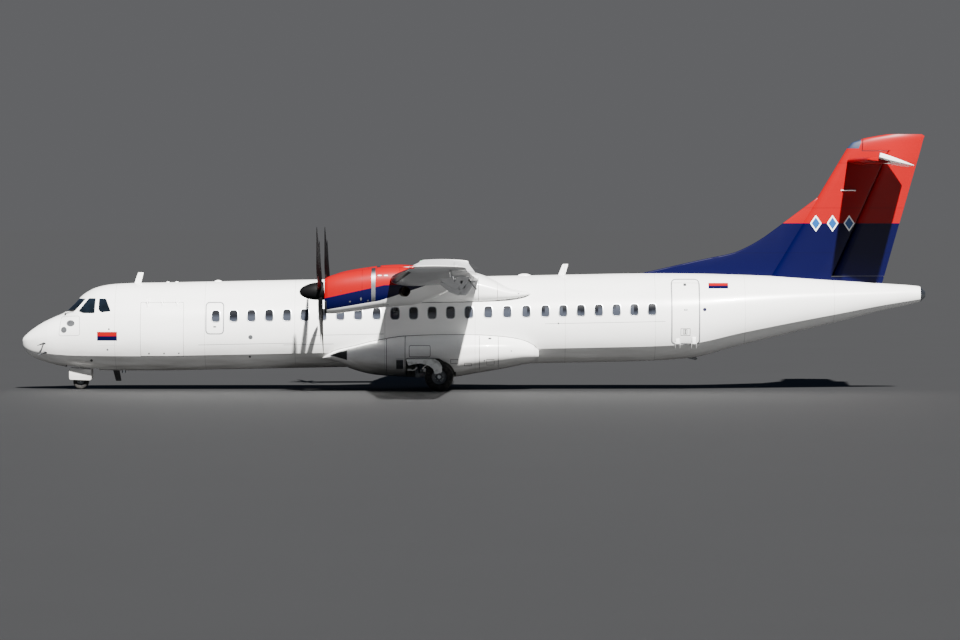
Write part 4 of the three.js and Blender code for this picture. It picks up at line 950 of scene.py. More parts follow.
# The mottled ones have two tones, the size of their blotches, and their settings
MOTTLED = {
    # Matt grey lines round doors and panels
    "grey_marking_paint": ("6d7074", "5b5e62", 90, {"Roughness": 0.5}),
    # Grey enamel over forged steel, chipped and greasy
    "gear_enamel": ("gear", 0.3, 120, {"spread": (0.42, 0.8), "grain": 14, "depth": 0.18, "Roughness": 0.42}),
    # The doors and legs show off-white, with grease round their joints
    "white_gear_enamel": (
        "dfe1df", "6e6a63", 160, {"spread": (0.5, 0.85), "grain": 20, "depth": 0.15, "Roughness": 0.36}),
    # Black rubber, greyed where it meets the ground
    "tyre_rubber_moulded": ("1a1a1b", "3a3835", 60, {
        "spread": (0.4, 0.75), "grain": 5, "depth": 0.2, "Roughness": 0.86, "Specular_IOR_Level": 0.3}),
    # De-icing boots: black rubber sheet, slightly dusty
    "neoprene_boot": ("151618", "2b2c2f", 300, {
        "spread": (0.4, 0.75), "grain": 70, "depth": 0.5, "stretch": (1, 0.25, 1), "Roughness": 0.5}),
    # Matt black sealant in joints and round glass; the same black is painted shade in the openings, recesses
    # and creases that use it
    "seal_rubber": ("121315", "222427", 80, {"Roughness": 0.7}),
    # Carbon blades under black erosion paint, dull towards the tips
    "blade_composite_coated": ("040405", "0b0b0d", 260, {
        "spread": (0.45, 0.7), "grain": 30, "depth": 0.1, "Roughness": 0.6, "Specular_IOR_Level": 0.12}),
    # Bare light alloy with fine turned scratches
    "aluminium_brushed": ("b4b8bc", "8d9296", 8, {
        "spread": (0.35, 0.65), "grain": 8, "depth": 0.06, "stretch": (1, 0.06, 1), "Metallic": 1.0,
        "Roughness": 0.34}),
    # Mirror-bright sliding tubes
    "steel_chromed": ("d5d8db", "aeb1b4", 60, {"Metallic": 1.0, "Roughness": 0.08}),
    # Nickel alloy browned by heat, sooty at the lip
    "exhaust_alloy_scorched": ("6f655c", "2c2724", 110, {
        "spread": (0.35, 0.65), "grain": 18, "depth": 0.12, "Metallic": 1.0, "Roughness": 0.42}),
    # Sand-cast casing in dull alloy
    "engine_casing_cast": (
        "84888b", "55585b", 90, {"grain": 6, "depth": 0.2, "Metallic": 0.9, "Roughness": 0.5}),
    # Pale grey-green primer inside the wheel bays, grimy with oil mist
    "bay_primer_brushed": (
        "767b74", "242321", 240, {"spread": (0.3, 0.7), "grain": 40, "depth": 0.2, "Roughness": 0.62}),
    # Warm grey moulded panels with a fine leather-like grain
    "cabin_lining_moulded": ("lining", 0.8, 200, {"grain": 4, "depth": 0.15, "Roughness": 0.6}),
    # The unlit inside of a doorway, dark grey and dull
    "doorway_shadow": ("2e3033", "1a1b1d", 220, {"Roughness": 0.8}),
    # Moulded clear plastic over a lamp: deep colour with a bright glint
    "red_lens": ("b3161a", "8e0f12", 30, LENS),
    # The same plastic in green
    "green_lens": ("10804a", "0b6439", 30, LENS),
    # The same plastic, uncoloured over a white lamp
    "clear_lens": ("d3d9dd", "b9c0c5", 30, LENS),
    # Thick dark glass over an unlit cockpit: nearly black, with a hard clear reflection
    "cockpit_glass_laminated": ("080c10", "141c26", 900, PANE),
    # A blue-grey patch on the horn's leading edge
    "steel_blue_boot": ("182a49", "101d34", 200, {"Roughness": 0.5}),
    # A matt grey floor, slightly uneven in tone
    "screed_floor": ("floor", 0.93, 4000, {"Roughness": 0.75}),
}
CABIN_GLASS = "cabin_glass_acrylic"


def finished(title):
    """A finish, which is built the first time that a piece asks for it."""
    if title in bpy.data.materials:
        return bpy.data.materials[title]
    if title == CABIN_GLASS:
        return cabin_glass(title)
    *tones, settings = SPRAYED.get(title) or MOTTLED[title]
    return (sprayed if title in SPRAYED else mottled)(title, *tones, **settings)


# Stage

CAMERA_X, CAMERA_Z = 0.1885, 4.9
CAMERA_LENS, CAMERA_SENSOR = 199.44, 36.0
CAMERA_DIP = math.radians(1.0126)  # the camera looks down this much
SUN_DIRECTION = (0.24, -1.0, 1.0)  # from the aircraft towards the sun
SUN_STRENGTH, SUN_SIZE, SUN_TONE = 20.0, math.radians(1.2), (1.0, 0.975, 0.94)
SKY_TONE, SKY_STRENGTH = "a9c3f2", 0.09
BACKDROP_TONE, BACKDROP_STRENGTH = "f6f7fc", 0.137  # as bright as the floor looks in the sun
FLOOR_REACH = 6000.0


def studio_world():
    """Soft light from all round, and a plain backdrop that goes on where the floor ends."""
    world = bpy.data.worlds.new("soft_studio")
    world.use_nodes = True
    tree = world.node_tree
    tree.nodes.clear()
    sky = add_node(tree, "Background", sockets={"Color": rgba(SKY_TONE), "Strength": SKY_STRENGTH})
    drop = add_node(tree, "Background", sockets={"Color": rgba(BACKDROP_TONE), "Strength": BACKDROP_STRENGTH})
    seen = add_node(tree, "LightPath").outputs["Is Camera Ray"]
    both = add_node(tree, "MixShader", sockets={0: seen, 1: sky, 2: drop})
    add_node(tree, "OutputWorld", sockets={"Surface": both})
    return world


class AIRLINER_OT_stage(bpy.types.Operator):
    """The matt floor, the soft light and the camera at the photograph's viewing angle"""

    bl_idname = "airliner.stage"
    bl_label = "Stage"

    def execute(self, context):
        mesh = bpy.data.meshes.new("floor")
        corners = [(-1, -1), (1, -1), (1, 1), (-1, 1)]
        mesh.from_pydata([(x * FLOOR_REACH, y * FLOOR_REACH, 0) for x, y in corners], [], [(0, 1, 2, 3)])
        mesh.materials.append(finished("screed_floor"))
        add_object("floor", mesh)
        context.scene.world = studio_world()

        light = bpy.data.lights.new("key_light", "SUN")
        light.energy, light.angle, light.color = SUN_STRENGTH, SUN_SIZE, SUN_TONE
        sun = add_object("key_light", light)
        sun.rotation_euler = Vector(SUN_DIRECTION).to_track_quat("Z", "Y").to_euler()

        lens = bpy.data.cameras.new("camera")
        lens.lens, lens.sensor_width, lens.clip_end = CAMERA_LENS, CAMERA_SENSOR, 2 * FLOOR_REACH
        camera = add_object("camera", lens)
        camera.location = (CAMERA_X, -sizes().camera_distance, CAMERA_Z)
        camera.rotation_euler = (math.pi / 2 - CAMERA_DIP, 0, 0)
        context.scene.camera = camera
        return {"FINISHED"}


# Doors, windows and openings of the fuselage. Door columns: name, side, front x, rear x, sill, top,
# corner radius at the foot and at the top, then y and z of the hinge and its reach, if it swings.
DOORS = [
    ("passenger_door", -1, 19510, 20300, 1405, 3280, 90, 150, -1275, 1393, 1850),
    ("cargo_door", -1, 3640, 4915, 960, 2614, 90, 40, -1180, 2629, 1606),
    ("service_door", 1, 19560, 20210, 1405, 2639, 110, 110),
    ("exit_left", -1, 5610, 6100, 1700, 2600, 110, 110),
    ("exit_right", 1, 5610, 6100, 1700, 2600, 110, 110),
]
DOOR_DEPTH, DOORWAY_DEPTH, DOORWAY_PROUD, SHUT_GAP = 110, 60, 30, 4
DOOR_Y = (300, 1700)  # from inside the cabin to outside the skin
DOOR_TOE = (-1075, 0, 1000, 1520)  # y and z of what the passenger door's foot is cut back by
DOOR_ARC_SIDES = 192
NEAR = 200  # how far past a door or a window a skin is made to cut it
# Wells between the treads inside the passenger door: how many, above the sill, left out of the height,
# in from the door's sides, the tread's thickness, corner radius, and how far inside the skin they end
STEP_COUNT, STEP_FOOT, STEP_LESS, STEP_SIDE, TREAD, STEP_CORNER, STEP_SKIN = 6, 150, 360, 110, 24, 25, 30

SKIN_FINISHES = ("white_polyurethane_sprayed", "seal_rubber", "doorway_shadow", "bay_primer_brushed")
# The doorway faces carry painted shade: the dark, unlit inside of a doorway and of the gap round its door
SEAL, DOORWAY_SHADE, PRIMER = range(1, 4)
LEAF_LINING, LEAF_SEAL = 1, 2  # a door leaf's finishes


def door_outline(door, margin=0.0):
    _, _, start, end, sill, top, foot_radius, top_radius = door[:8]
    corners = rectangle(start - margin, end + margin, sill - margin, top + margin)
    return rounded(corners, (foot_radius, foot_radius, top_radius, top_radius), 8)


def swings(door):
    return len(door) > 8


def door_block(door, outside, margin, depth, paint=0):
    """The part of a skin behind a door's outline, down to a depth."""
    _, side, start, end = door[:4]
    block = prism(door_outline(door, margin), *(side * y for y in DOOR_Y), paint=paint)
    if swings(door):
        hinge_y, hinge_z, reach = door[8:]
        ends = [(x, hinge_y, hinge_z) for x in (start - DOOR_DEPTH, end + DOOR_DEPTH)]
        whole_reach = (reach + margin) / math.cos(math.pi / DOOR_ARC_SIDES)
        block = kept_in(block, bar(*ends, whole_reach, sides=DOOR_ARC_SIDES, paint=paint))
    block = kept_in(block, outside(start - NEAR, end + NEAR))
    return carved(block, fuselage_loft(start - NEAR, end + NEAR, -depth, paint))


def doorway(door):
    margin, more = (RUNNING_GAP, DOORWAY_DEPTH) if swings(door) else (SHUT_GAP, SECTION_GAP)
    return door_block(
        door, lambda a, b: fuselage_loft(a, b, DOORWAY_PROUD, DOORWAY_SHADE), margin, DOOR_DEPTH + more, DOORWAY_SHADE)


def window_places():
    places = [WINDOW_FIRST]
    for count, pitch in WINDOW_PITCHES:
        places += [places[-1] + pitch * (k + 1) for k in range(count)]
    return places


WINDOW_DEPTH, WINDOW_PROUD, WINDOW_POWER = 26, 40, 3.6


def window_outline(x, grow=0.0):
    z = WINDOW_Z + WINDOW_SLOPE * (x - WINDOW_FIRST)
    half_width, half_height = mm(sizes().window_width) / 2 + grow, mm(sizes().window_height) / 2 + grow
    return oval(x, z, half_width, half_height, WINDOW_POWER, 36)


def window_pocket(x, side, paint):
    return pad(window_outline(x), -WINDOW_DEPTH, WINDOW_PROUD, side, paint)


def window_pockets(start, end):
    """Pockets in the skin for the cabin windows between two stations. The first window is in the exits."""
    near = [x for x in window_places()[1:] if start - NEAR < x < end + NEAR]
    return joined(*(window_pocket(x, side, SEAL) for x in near for side in (-1, 1)))


# Cockpit windows, as side outlines of x and z. The first wraps round the front to the centre post.
COCKPIT_WINDOWS = [
    [(1150, 2330), (1630, 2350), (1960, 2726), (1560, 2728)],
    [(1745, 2350), (1890, 2291), (2250, 2291), (2268, 2742), (2055, 2742)],
    [(2365, 2390), (2452, 2315), (2740, 2351), (2582, 2730), (2367, 2730)],
]
CENTRE_POST, COCKPIT_SIDE = 35, 1600
COCKPIT_CORNER, PANE_EDGE, PANE_DEPTH, PANE_THICKNESS, FRAME_DEPTH = 38, 9, 12, 16, 42


def cockpit_prisms(edge, paint=0):
    prisms = []
    for outline in COCKPIT_WINDOWS:
        corners = inset(rounded(outline, COCKPIT_CORNER), edge)
        for side in (-1, 1):
            prisms.append(prism(corners, side * (CENTRE_POST + edge), side * COCKPIT_SIDE, paint=paint))
    return joined(*prisms)


def nose_loft(grow=0.0, paint=0):
    return fuselage_loft(RADOME_END, BARREL_FROM, grow, paint)


def gear_bays():
    """Room for the folded main wheels on each side, as tools that cut the skins."""
    x0, _, _, arch_from, floor, roof = GEAR_BAY
    angles = np.linspace(0, ARCH_TURN, 16)
    arch = [(MAIN_X + ARCH_RADIUS * math.cos(a), MAIN_AXLE_Z + ARCH_RADIUS * math.sin(a)) for a in angles]
    outline = [(x0, floor), (arch[0][0], floor), *arch, (MAIN_X, roof), (x0, roof)]
    outer = prism(outline, arch_from - 1, BAY_SIDE, paint=PRIMER)
    return [mirrored(tool, side) for tool in (box(*GEAR_BAY, paint=PRIMER), outer) for side in (-1, 1)]


def middle_wing(reach, grow=0.0):
    """The wing's straight middle, as far out as a reach to each side."""
    return foil_loft(WING_FOIL, [(y, *WING[1][1:]) for y in (-reach, reach)], grow)


def wing_tool():
    """The wing's middle, for cutting what it passes through."""
    return middle_wing(WING_KINK, 2 * SECTION_GAP)


TAIL_CAP_X = 27060


class AIRLINER_OT_fuselage(bpy.types.Operator):
    """Radome, fuselage skins and tail cone, with their doorways, windows and wheel bays"""

    bl_idname = "airliner.fuselage"
    bl_label = "Fuselage"

    def execute(self, context):
        radome = fuselage_loft(0, RADOME_END)
        skin("radome", "shell", radome, ["radome_erosion_coat"], sharp=25)
        frames = carved(cockpit_prisms(0, SEAL), nose_loft(-FRAME_DEPTH, SEAL))
        for node, start, end, tools in (
            ("fuselage_front", RADOME_END, FRONT_END, [box(*NOSE_BAY, paint=PRIMER), frames]),
            ("fuselage_centre", FRONT_END, CENTRE_END, [*gear_bays(), wing_tool()]),
            ("fuselage_rear", CENTRE_END, REAR_END, []),
        ):
            start += SECTION_GAP
            doorways = [doorway(door) for door in DOORS if start < door[2] < end]
            shape = carved(fuselage_loft(start, end), *tools, *doorways, window_pockets(start, end))
            skin(node, "skin", shape, SKIN_FINISHES, sharp=12)
        tail = painted(fuselage_loft(REAR_END + SECTION_GAP, LENGTH), 1, lambda c: c[:, 0] > TAIL_CAP_X)
        finishes = ["white_polyurethane_sprayed", "aluminium_brushed"]
        skin("tail_cone", "shell", tail, finishes, sharp=20)
        return {"FINISHED"}


class AIRLINER_OT_cockpit_windows(bpy.types.Operator):
    """Laminated panes of the cockpit, set into their rubber frames"""

    bl_idname = "airliner.cockpit_windows"
    bl_label = "Cockpit windows"

    def execute(self, context):
        panes = kept_in(cockpit_prisms(PANE_EDGE), nose_loft(-PANE_DEPTH))
        panes = carved(panes, nose_loft(-PANE_DEPTH - PANE_THICKNESS))
        glass = piece("cockpit_panes", panes, ["cockpit_glass_laminated"])
        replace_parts(glass, "cockpit_glazing")
        return {"FINISHED"}


# Cabin window: how far the pane lies inside the outline, its depths, and the seal's section
PANE_INSET, PANE_DEPTHS = -15.5, (-20, -11)
RIM_METAL, RIM_SEAL = 1, 2
WINDOW_SEAL = [(-15, -17), (-15, -9), (-3.5, -6), (-3.5, -17)]


class AIRLINER_OT_cabin_windows(bpy.types.Operator):
    """Acrylic panes of the cabin, each in a metal rim and a dark seal"""

    bl_idname = "airliner.cabin_windows"
    bl_label = "Cabin windows"

    def execute(self, context):
        rim = mm(sizes().window_rim)
        rim_profile = [(-3, -18), (-3, 1.5), (3, 3), (rim, 0.6), (rim, -3), (0, -4)]
        finishes = [CABIN_GLASS, "aluminium_brushed", "seal_rubber"]
        for side, label in SIDES:
            parts = []
            for x in window_places():
                parts.append(pad(window_outline(x, PANE_INSET), *PANE_DEPTHS, side))
                parts.append(band(window_outline(x), rim_profile, side, RIM_METAL))
                parts.append(band(window_outline(x), WINDOW_SEAL, side, RIM_SEAL))
            piece(f"cabin_windows_{label}", joined(*parts), finishes)
        return {"FINISHED"}


class AIRLINER_OT_doors(bpy.types.Operator):
    """Cabin, cargo and service doors and the emergency exits"""

    bl_idname = "airliner.doors"
    bl_label = "Doors"

    def execute(self, context):
        finishes = ["white_polyurethane_sprayed", "cabin_lining_moulded", "seal_rubber"]
        for door in DOORS:
            node, side, start, end = door[:4]
            shape = door_block(door, fuselage_loft, 0, DOOR_DEPTH, LEAF_LINING)
            if node == "passenger_door":
                toe = box(start - 1, end + 1, *DOOR_TOE, paint=LEAF_LINING)
                shape = carved(shape, toe, stair_wells(door))
            if node.startswith("exit"):
                shape = carved(shape, window_pocket(WINDOW_FIRST, side, LEAF_SEAL))
            body = node if swings(door) else "airframe"
            skin(node, "leaf", shape, finishes, body, 14)
        return {"FINISHED"}


def stair_wells(door):
    """Hollows between the treads on the passenger door's inside."""
    start, end, sill, top = door[2:6]
    pitch = (top - sill - STEP_LESS) / STEP_COUNT
    wells = []
    for k in range(STEP_COUNT):
        foot = sill + STEP_FOOT + k * pitch
        well = rectangle(start + STEP_SIDE, end - STEP_SIDE, foot + TREAD, foot + pitch)
        wells.append(prism(rounded(well, STEP_CORNER), *(-y for y in DOOR_Y), paint=LEAF_LINING))
    return kept_in(joined(*wells), fuselage_loft(start - NEAR, end + NEAR, -STEP_SKIN, LEAF_LINING))


# Wings

BOOT_SHARE, WING_BOOT = 0.06, (4780, 13200)
WING_FINISHES = ("wing_grey_polyurethane", "neoprene_boot", "white_polyurethane_sprayed")
BOOT, TIP_CAP = 1, 2
TIP_CAP_FROM = 13440
BRACKETS_INNER, BRACKETS_OUTER = (2500,), (5600, 8900)
BRACKET_HALF, BRACKET_DROP = 36, 430
BRACKET_NOSE, BRACKET_CLEAR = 88, 100
BRACKET_LUG, BRACKET_LUG_GAP, BRACKET_LUG_FOOT = 10, 13, 8
BRACKET_EDGES = (22, 16)  # how far the rims of the fixed and the moving half are rounded over


def wing_cove(span, hinge, end_gap):
    return cove(WING_FOIL, span, lambda y: hinge, RUNNING_GAP, end_gap)


def wing_loft(places):
    return foil_loft(WING_FOIL, [station_at(WING, y) for y in places])


def booted(shape, span):
    """Paint the de-icing boot along the wing's leading edge."""
    def on_boot(centres):
        along = np.abs(centres[:, 1])
        rows = np.array(WING, float).T
        front, chord = np.interp(along, rows[0], rows[1]), np.interp(along, rows[0], rows[2])
        near = centres[:, 0] < front + chord * BOOT_SHARE
        return near & (along > span[0]) & (along < span[1])
    return painted(shape, BOOT, on_boot)


def bracket_frame(y):
    station = station_at(WING, y)
    size = BRACKET_DROP * station[2] / WING[0][2]
    drop = camber_height(FLAP_HINGE, WING_CAMBER) - size / station[2]
    pivot = place_wing(station, FLAP_HINGE, drop)

    def at(a, b):
        return (pivot[0] + a * size, pivot[2] + b * size)

    def arc(radius, start, turn, steps):
        angles = math.pi * (start + turn * np.arange(steps + 1) / steps)
        return [(pivot[0] + radius * math.cos(a), pivot[2] + radius * math.sin(a)) for a in angles]

    return at, arc


def bracket_fixed(y):
    """The fairing ahead of a flap's pivot, hung from the wing."""
    at, arc = bracket_frame(y)
    outline = [at(-1.45, 0.85), at(-1.25, 0.55), at(-0.6, 0.02), *arc(BRACKET_NOSE, -0.62, 1.02, 16)]
    outline += [at(-0.3, 0.85), at(-0.9, 1.0), at(-1.4, 1.0)]
    return cushion(outline, y - BRACKET_HALF, y + BRACKET_HALF, BRACKET_EDGES[0])


def bracket_moving(y):
    """The fairing behind a flap's pivot, hung from the flap, with its two lugs."""
    at, arc = bracket_frame(y)
    outline = arc(BRACKET_CLEAR, 0.33, -0.62, 12)
    outline += [at(0.5, -0.2), at(0.68, -0.04), at(0.84, 0.2), at(1.0, 0.5), at(1.17, 0.78), at(0.2, 0.88)]
    parts = [cushion(outline, y - BRACKET_HALF, y + BRACKET_HALF, BRACKET_EDGES[1])]
    lug = [at(-0.15, 0.15), at(-0.15, 0), at(0, -0.15), at(0.2, -0.04)]
    lug += [at(0.55, 0.3), at(0.6, 0.88), at(0.16, 0.9)]
    joiner = [at(0.4, 0.25), at(0.58, 0.25), at(0.58, 0.5), at(0.4, 0.5)]
    for side in (-1, 1):
        face = y + side * (BRACKET_HALF - BRACKET_LUG_FOOT)
        near = y + side * (BRACKET_HALF + BRACKET_LUG_GAP)
        far = near + side * BRACKET_LUG
        parts.append(prism(lug, *sorted((near, far))))
        parts.append(prism(joiner, *sorted((face, far))))
    return joined(*parts)


class AIRLINER_OT_wings(bpy.types.Operator):
    """Wing skins with their de-icing boots and the flap brackets' fixed halves"""

    bl_idname = "airliner.wings"
    bl_label = "Wings"

    def execute(self, context):
        inner_cove = wing_cove(INNER_FLAP, FLAP_HINGE, FLAP_END_GAP)
        centre = carved(middle_wing(WING_KINK - SECTION_GAP), inner_cove, mirrored(inner_cove))
        brackets = [bracket_fixed(y) for y in BRACKETS_INNER]
        centre = joined(centre, *brackets, *(mirrored(bracket) for bracket in brackets))
        skin("wing_centre", "skin", centre, WING_FINISHES)
        flap_cove = wing_cove(OUTER_FLAP, FLAP_HINGE, FLAP_END_GAP)
        outer = booted(wing_loft([WING_KINK, WING_BOOT[0], *(row[0] for row in WING[2:])]), WING_BOOT)
        outer = painted(outer, TIP_CAP, lambda c: c[:, 1] > TIP_CAP_FROM)
        outer = carved(outer, flap_cove, wing_cove(AILERON, AILERON_HINGE, RUNNING_GAP))
        outer = joined(outer, *(bracket_fixed(y) for y in BRACKETS_OUTER))
        for side, label in SIDES:
            skin(f"wing_{label}", "skin", mirrored(outer, side), WING_FINISHES)
        return {"FINISHED"}


class AIRLINER_OT_wing_surfaces(bpy.types.Operator):
    """Flaps with their brackets' moving halves, and ailerons"""

    bl_idname = "airliner.wing_surfaces"
    bl_label = "Flaps and ailerons"

    def execute(self, context):
        for name, span, hinge, places in (
            ("flap_inner", INNER_FLAP, FLAP_HINGE, BRACKETS_INNER),
            ("flap_outer", OUTER_FLAP, FLAP_HINGE, BRACKETS_OUTER),
            ("aileron", AILERON, AILERON_HINGE, ()),
        ):
            surface = moving_surface(WING_FOIL, span, lambda y: hinge)
            surface = joined(surface, *(bracket_moving(y) for y in places))
            for side, label in SIDES:
                node = f"{name}_{label}"
                skin(node, "skin", mirrored(surface, side), WING_FINISHES, node)
        return {"FINISHED"}


FAIRING_STEP = 160


class AIRLINER_OT_fairings(bpy.types.Operator):
    """Wing root fairing, and the main gear's fairing under the belly"""

    bl_idname = "airliner.fairings"
    bl_label = "Fairings"

    def execute(self, context):
        body = fuselage_loft(RADOME_END, LENGTH, SECTION_GAP)
        saddle = carved(rounded_loft(WING_FAIRING, WING_FAIRING_POWER, 96, FAIRING_STEP), body, wing_tool())
        skin("wing_fairing", "skin", saddle, SKIN_FINISHES, sharp=20)
        belly = carved(rounded_loft(GEAR_FAIRING, GEAR_FAIRING_POWER, 96, FAIRING_STEP), body, *gear_bays())
        skin("gear_fairing", "skin", belly, SKIN_FINISHES, sharp=20)
        return {"FINISHED"}


# Tail

COLOUR_LINE = 4980  # z where the tail's blue meets its red
TAIL_REACH_BACK, TAIL_REACH_TOP, TAIL_REACH_SIDE = 27400, 7900, 300  # past the fin and rudder all round
DORSAL_HALF, DORSAL_EDGE, DORSAL_END, DORSAL_FOOT = 45, 34, 24000, 3100
ELEVATOR_ROOM = 70  # the fin carries the tailplane as far back as this ahead of the elevators' hinge
ELEVATOR_SLOPE, TAIL_COVE_GAP, ELEVATOR_PAST_TIP = 0.62, 15, 60
SEAT_FROM_Z = 6000  # below the tailplane, for its seat in the fin
OVERLAP = 20
RED = 1
TAIL_FINISHES = ("blue_polyurethane_sprayed", "red_polyurethane_sprayed")


def scored(shape, point, normal):
    """The shape with its faces split along a plane, so that paint can change there."""
    mesh = to_mesh("scratch", shape)
    split = bmesh.new()
    split.from_mesh(mesh)
    place = Vector(point) * MM + Vector((NOSE_X, 0, 0))
    geometry = [*split.verts, *split.edges, *split.faces]
    bmesh.ops.bisect_plane(split, geom=geometry, dist=1e-6, plane_co=place, plane_no=Vector(normal))
    split.to_mesh(mesh)
    split.free()
    shape = from_mesh(mesh)
    bpy.data.meshes.remove(mesh)
    return shape


def tail_painted(shape):
    shape = scored(shape, (0, 0, COLOUR_LINE), (0, 0, 1))
    return painted(shape, RED, lambda c: c[:, 2] > COLOUR_LINE)


def rudder_hinge(z):
    (z0, x0), (z1, x1) = RUDDER_FOOT, RUDDER_TOP
    return x0 + (x1 - x0) * (z - z0) / (z1 - z0)


def fin_share(z):
    """The rudder's hinge line, as a share of the fin's chord."""
    _, x, chord, _ = station_at(FIN, z)
    return (rudder_hinge(z) - x) / chord


def fin_loft(grow=0.0):
    return foil_loft(FIN_FOIL, FIN, grow)


def rudder_horn(margin):
    front, foot = HORN_FRONT - margin, HORN_FOOT - margin
    back, top = TAIL_REACH_BACK, TAIL_REACH_TOP
    outline = [(front, foot), (back, foot), (back, top), (front + HORN_LEAN, top)]
    return prism(outline, -TAIL_REACH_SIDE, TAIL_REACH_SIDE)


def whole_tail(grow=0.0):
    left = [(-y, *row) for y, *row in TAILPLANE[:0:-1]]
    return foil_loft(TAIL_FOIL, [*left, *TAILPLANE], grow)


class AIRLINER_OT_fin(bpy.types.Operator):
    """Fin, dorsal fin and rudder in red over blue"""

    bl_idname = "airliner.fin"
    bl_label = "Fin and rudder"

    def execute(self, context):
        body = fuselage_loft(CENTRE_END, LENGTH, SECTION_GAP)
        span = (RUDDER_FOOT[0] - RUDDER_FOOT_GAP, HORN_FOOT + RUNNING_GAP)
        rudder_cove = cove(FIN_FOIL, span, fin_share, RUNNING_GAP)
        back = TAIL_HINGE_X - ELEVATOR_ROOM
        middle = box(DORSAL_END, back, -TAIL_TIP, TAIL_TIP, SEAT_FROM_Z, TAIL_REACH_TOP)
        seat = kept_in(whole_tail(SECTION_GAP), middle)
        fin = carved(fin_loft(), rudder_cove, rudder_horn(HORN_GAP), body, seat)
        skin("fin", "skin", tail_painted(fin), TAIL_FINISHES)
        blade = moving_surface(FIN_FOIL, (RUDDER_FOOT[0], HORN_FOOT + OVERLAP), fin_share)
        horn = kept_in(fin_loft(), rudder_horn(0))
        rudder = carved(blade, horn, operation="UNION")
        skin("rudder", "skin", tail_painted(rudder), TAIL_FINISHES, "rudder")
        edge = curve_through(DORSAL, 8)
        outline = [*map(tuple, edge), (DORSAL_END, DORSAL_FOOT), (DORSAL[0][0], DORSAL_FOOT)]
        ridge = cushion(outline, -DORSAL_HALF, DORSAL_HALF, DORSAL_EDGE)
        ridge = carved(ridge, body, fin_loft(2 * SECTION_GAP))
        skin("dorsal_fin", "skin", tail_painted(ridge), TAIL_FINISHES)
        return {"FINISHED"}


class AIRLINER_OT_tailplane(bpy.types.Operator):
    """Tailplane and the drooping elevators"""

    bl_idname = "airliner.tailplane"
    bl_label = "Tailplane and elevators"

    def execute(self, context):
        def share(y):
            _, x, chord, _ = station_at(TAILPLANE, abs(y))
            return (TAIL_HINGE_X - x) / chord

        low, high = TAIL_Z - TAIL_REACH_SIDE, TAIL_Z + TAIL_REACH_SIDE
        back = TAIL_REACH_BACK

        def horn_box(margin):
            front, near = ELEVATOR_HORN_FRONT - 2.5 * margin, ELEVATOR_HORN - margin
            return box(front, back, near, TAIL_TIP + ELEVATOR_PAST_TIP, low, high)

        room = cove(TAIL_FOIL, (0, ELEVATOR_HORN), share, TAIL_COVE_GAP, RUNNING_GAP)
        horn_room = horn_box(RUNNING_GAP)
        body = carved(whole_tail(), room, mirrored(room), horn_room, mirrored(horn_room))
        finishes = ["red_polyurethane_sprayed", "white_polyurethane_sprayed"]
        skin("tailplane", "skin", body, finishes)

        blade = moving_surface(TAIL_FOIL, (ELEVATOR_FROM, ELEVATOR_HORN + OVERLAP), share)
        horn = kept_in(whole_tail(), horn_box(0))
        slope = ELEVATOR_SLOPE * (back - TAIL_HINGE_X)
        corners = [(TAIL_HINGE_X, 0), (back, 0), (back, ELEVATOR_FROM + slope), (TAIL_HINGE_X, ELEVATOR_FROM)]
        rudder_room = prism(corners, low, high, "z")
        elevator = carved(carved(blade, horn, operation="UNION"), rudder_room)
        for side, label in SIDES:
            hung = turned(mirrored(elevator, side), TAIL_DROOP, "Y", (TAIL_HINGE_X, 0, TAIL_Z))
            node = f"elevator_{label}"
            skin(node, "skin", hung, finishes[1:], node)
        return {"FINISHED"}


# Engines

ENGINE_BLOCK = (9650, 11090, 300, 2600, 3300)  # x from and to, half width, bottom and top
ENGINE_CLEARANCE = 10
# Intake duct: x, top, bottom, half width
INTAKE = [(9100, 2566, 2390, 250), (9720, 2626, 2440, 190)]
EXHAUST_X, EXHAUST_Z, EXHAUST_RADIUS, EXHAUST_WALL = 11230, 2985, 150, 12
# How far out along its sweep the exhaust starts and ends, and its bore starts and ends
EXHAUST_SWEEP, EXHAUST_FROM, EXHAUST_TO, BORE_FROM, BORE_TO = math.radians(35), 250, 640, 400, 700
# The nacelle's red meets its blue along the first line, and its pale belly meets the blue along the second
NACELLE_RED_LINE = [(9200, 2780), (10970, 3170), (12370, 3200)]
NACELLE_BELLY_LINE = [(9100, 2421), (10840, 2716), (12390, 3230)]
NACELLE_FINISHES = (
    "nacelle_red_sprayed", "nacelle_blue_sprayed", "white_polyurethane_sprayed", "aluminium_brushed",
    "seal_rubber", "exhaust_alloy_scorched",
)
SIDE_BLUE, BELLY, STRAP, DUCT, PIPE = range(1, 6)
NACELLE_BAND = (10590, 10710)  # x of the bare metal strap
INTAKE_LIP = (9275, 2700)  # the rubber lip lies ahead of this x and below this z
NACELLE_POWER, NACELLE_STEP, INTAKE_STEP = 2.5, 110, 200


def engine_block(y, margin, paint=0):
    x0, x1, half, bottom, top = ENGINE_BLOCK
    outline = rectangle(x0 - margin, x1 + margin, bottom - margin, top + margin)
    return prism(outline, y - half - margin, y + half + margin, paint=paint)


def below(line):
    """A test for the faces whose centres lie below a line of x and z."""
    xs, zs = zip(*line)
    return lambda centres: centres[:, 2] < np.interp(centres[:, 0], xs, zs)


def scored_along(shape, line):
    for (x0, z0), (x1, z1) in zip(line, line[1:]):
        shape = scored(shape, (x0, 0, z0), (z0 - z1, 0, x1 - x0))
    return shape


def exhaust(side, reach_from, reach_to, radius):
    """A round length of the exhaust, which sweeps out and back."""
    ahead = np.array((math.sin(EXHAUST_SWEEP), side * math.cos(EXHAUST_SWEEP), 0))
    root = np.array((EXHAUST_X, side * ENGINE_Y, EXHAUST_Z))
    return bar(root + ahead * reach_from, root + ahead * reach_to, radius, sides=48, paint=PIPE)


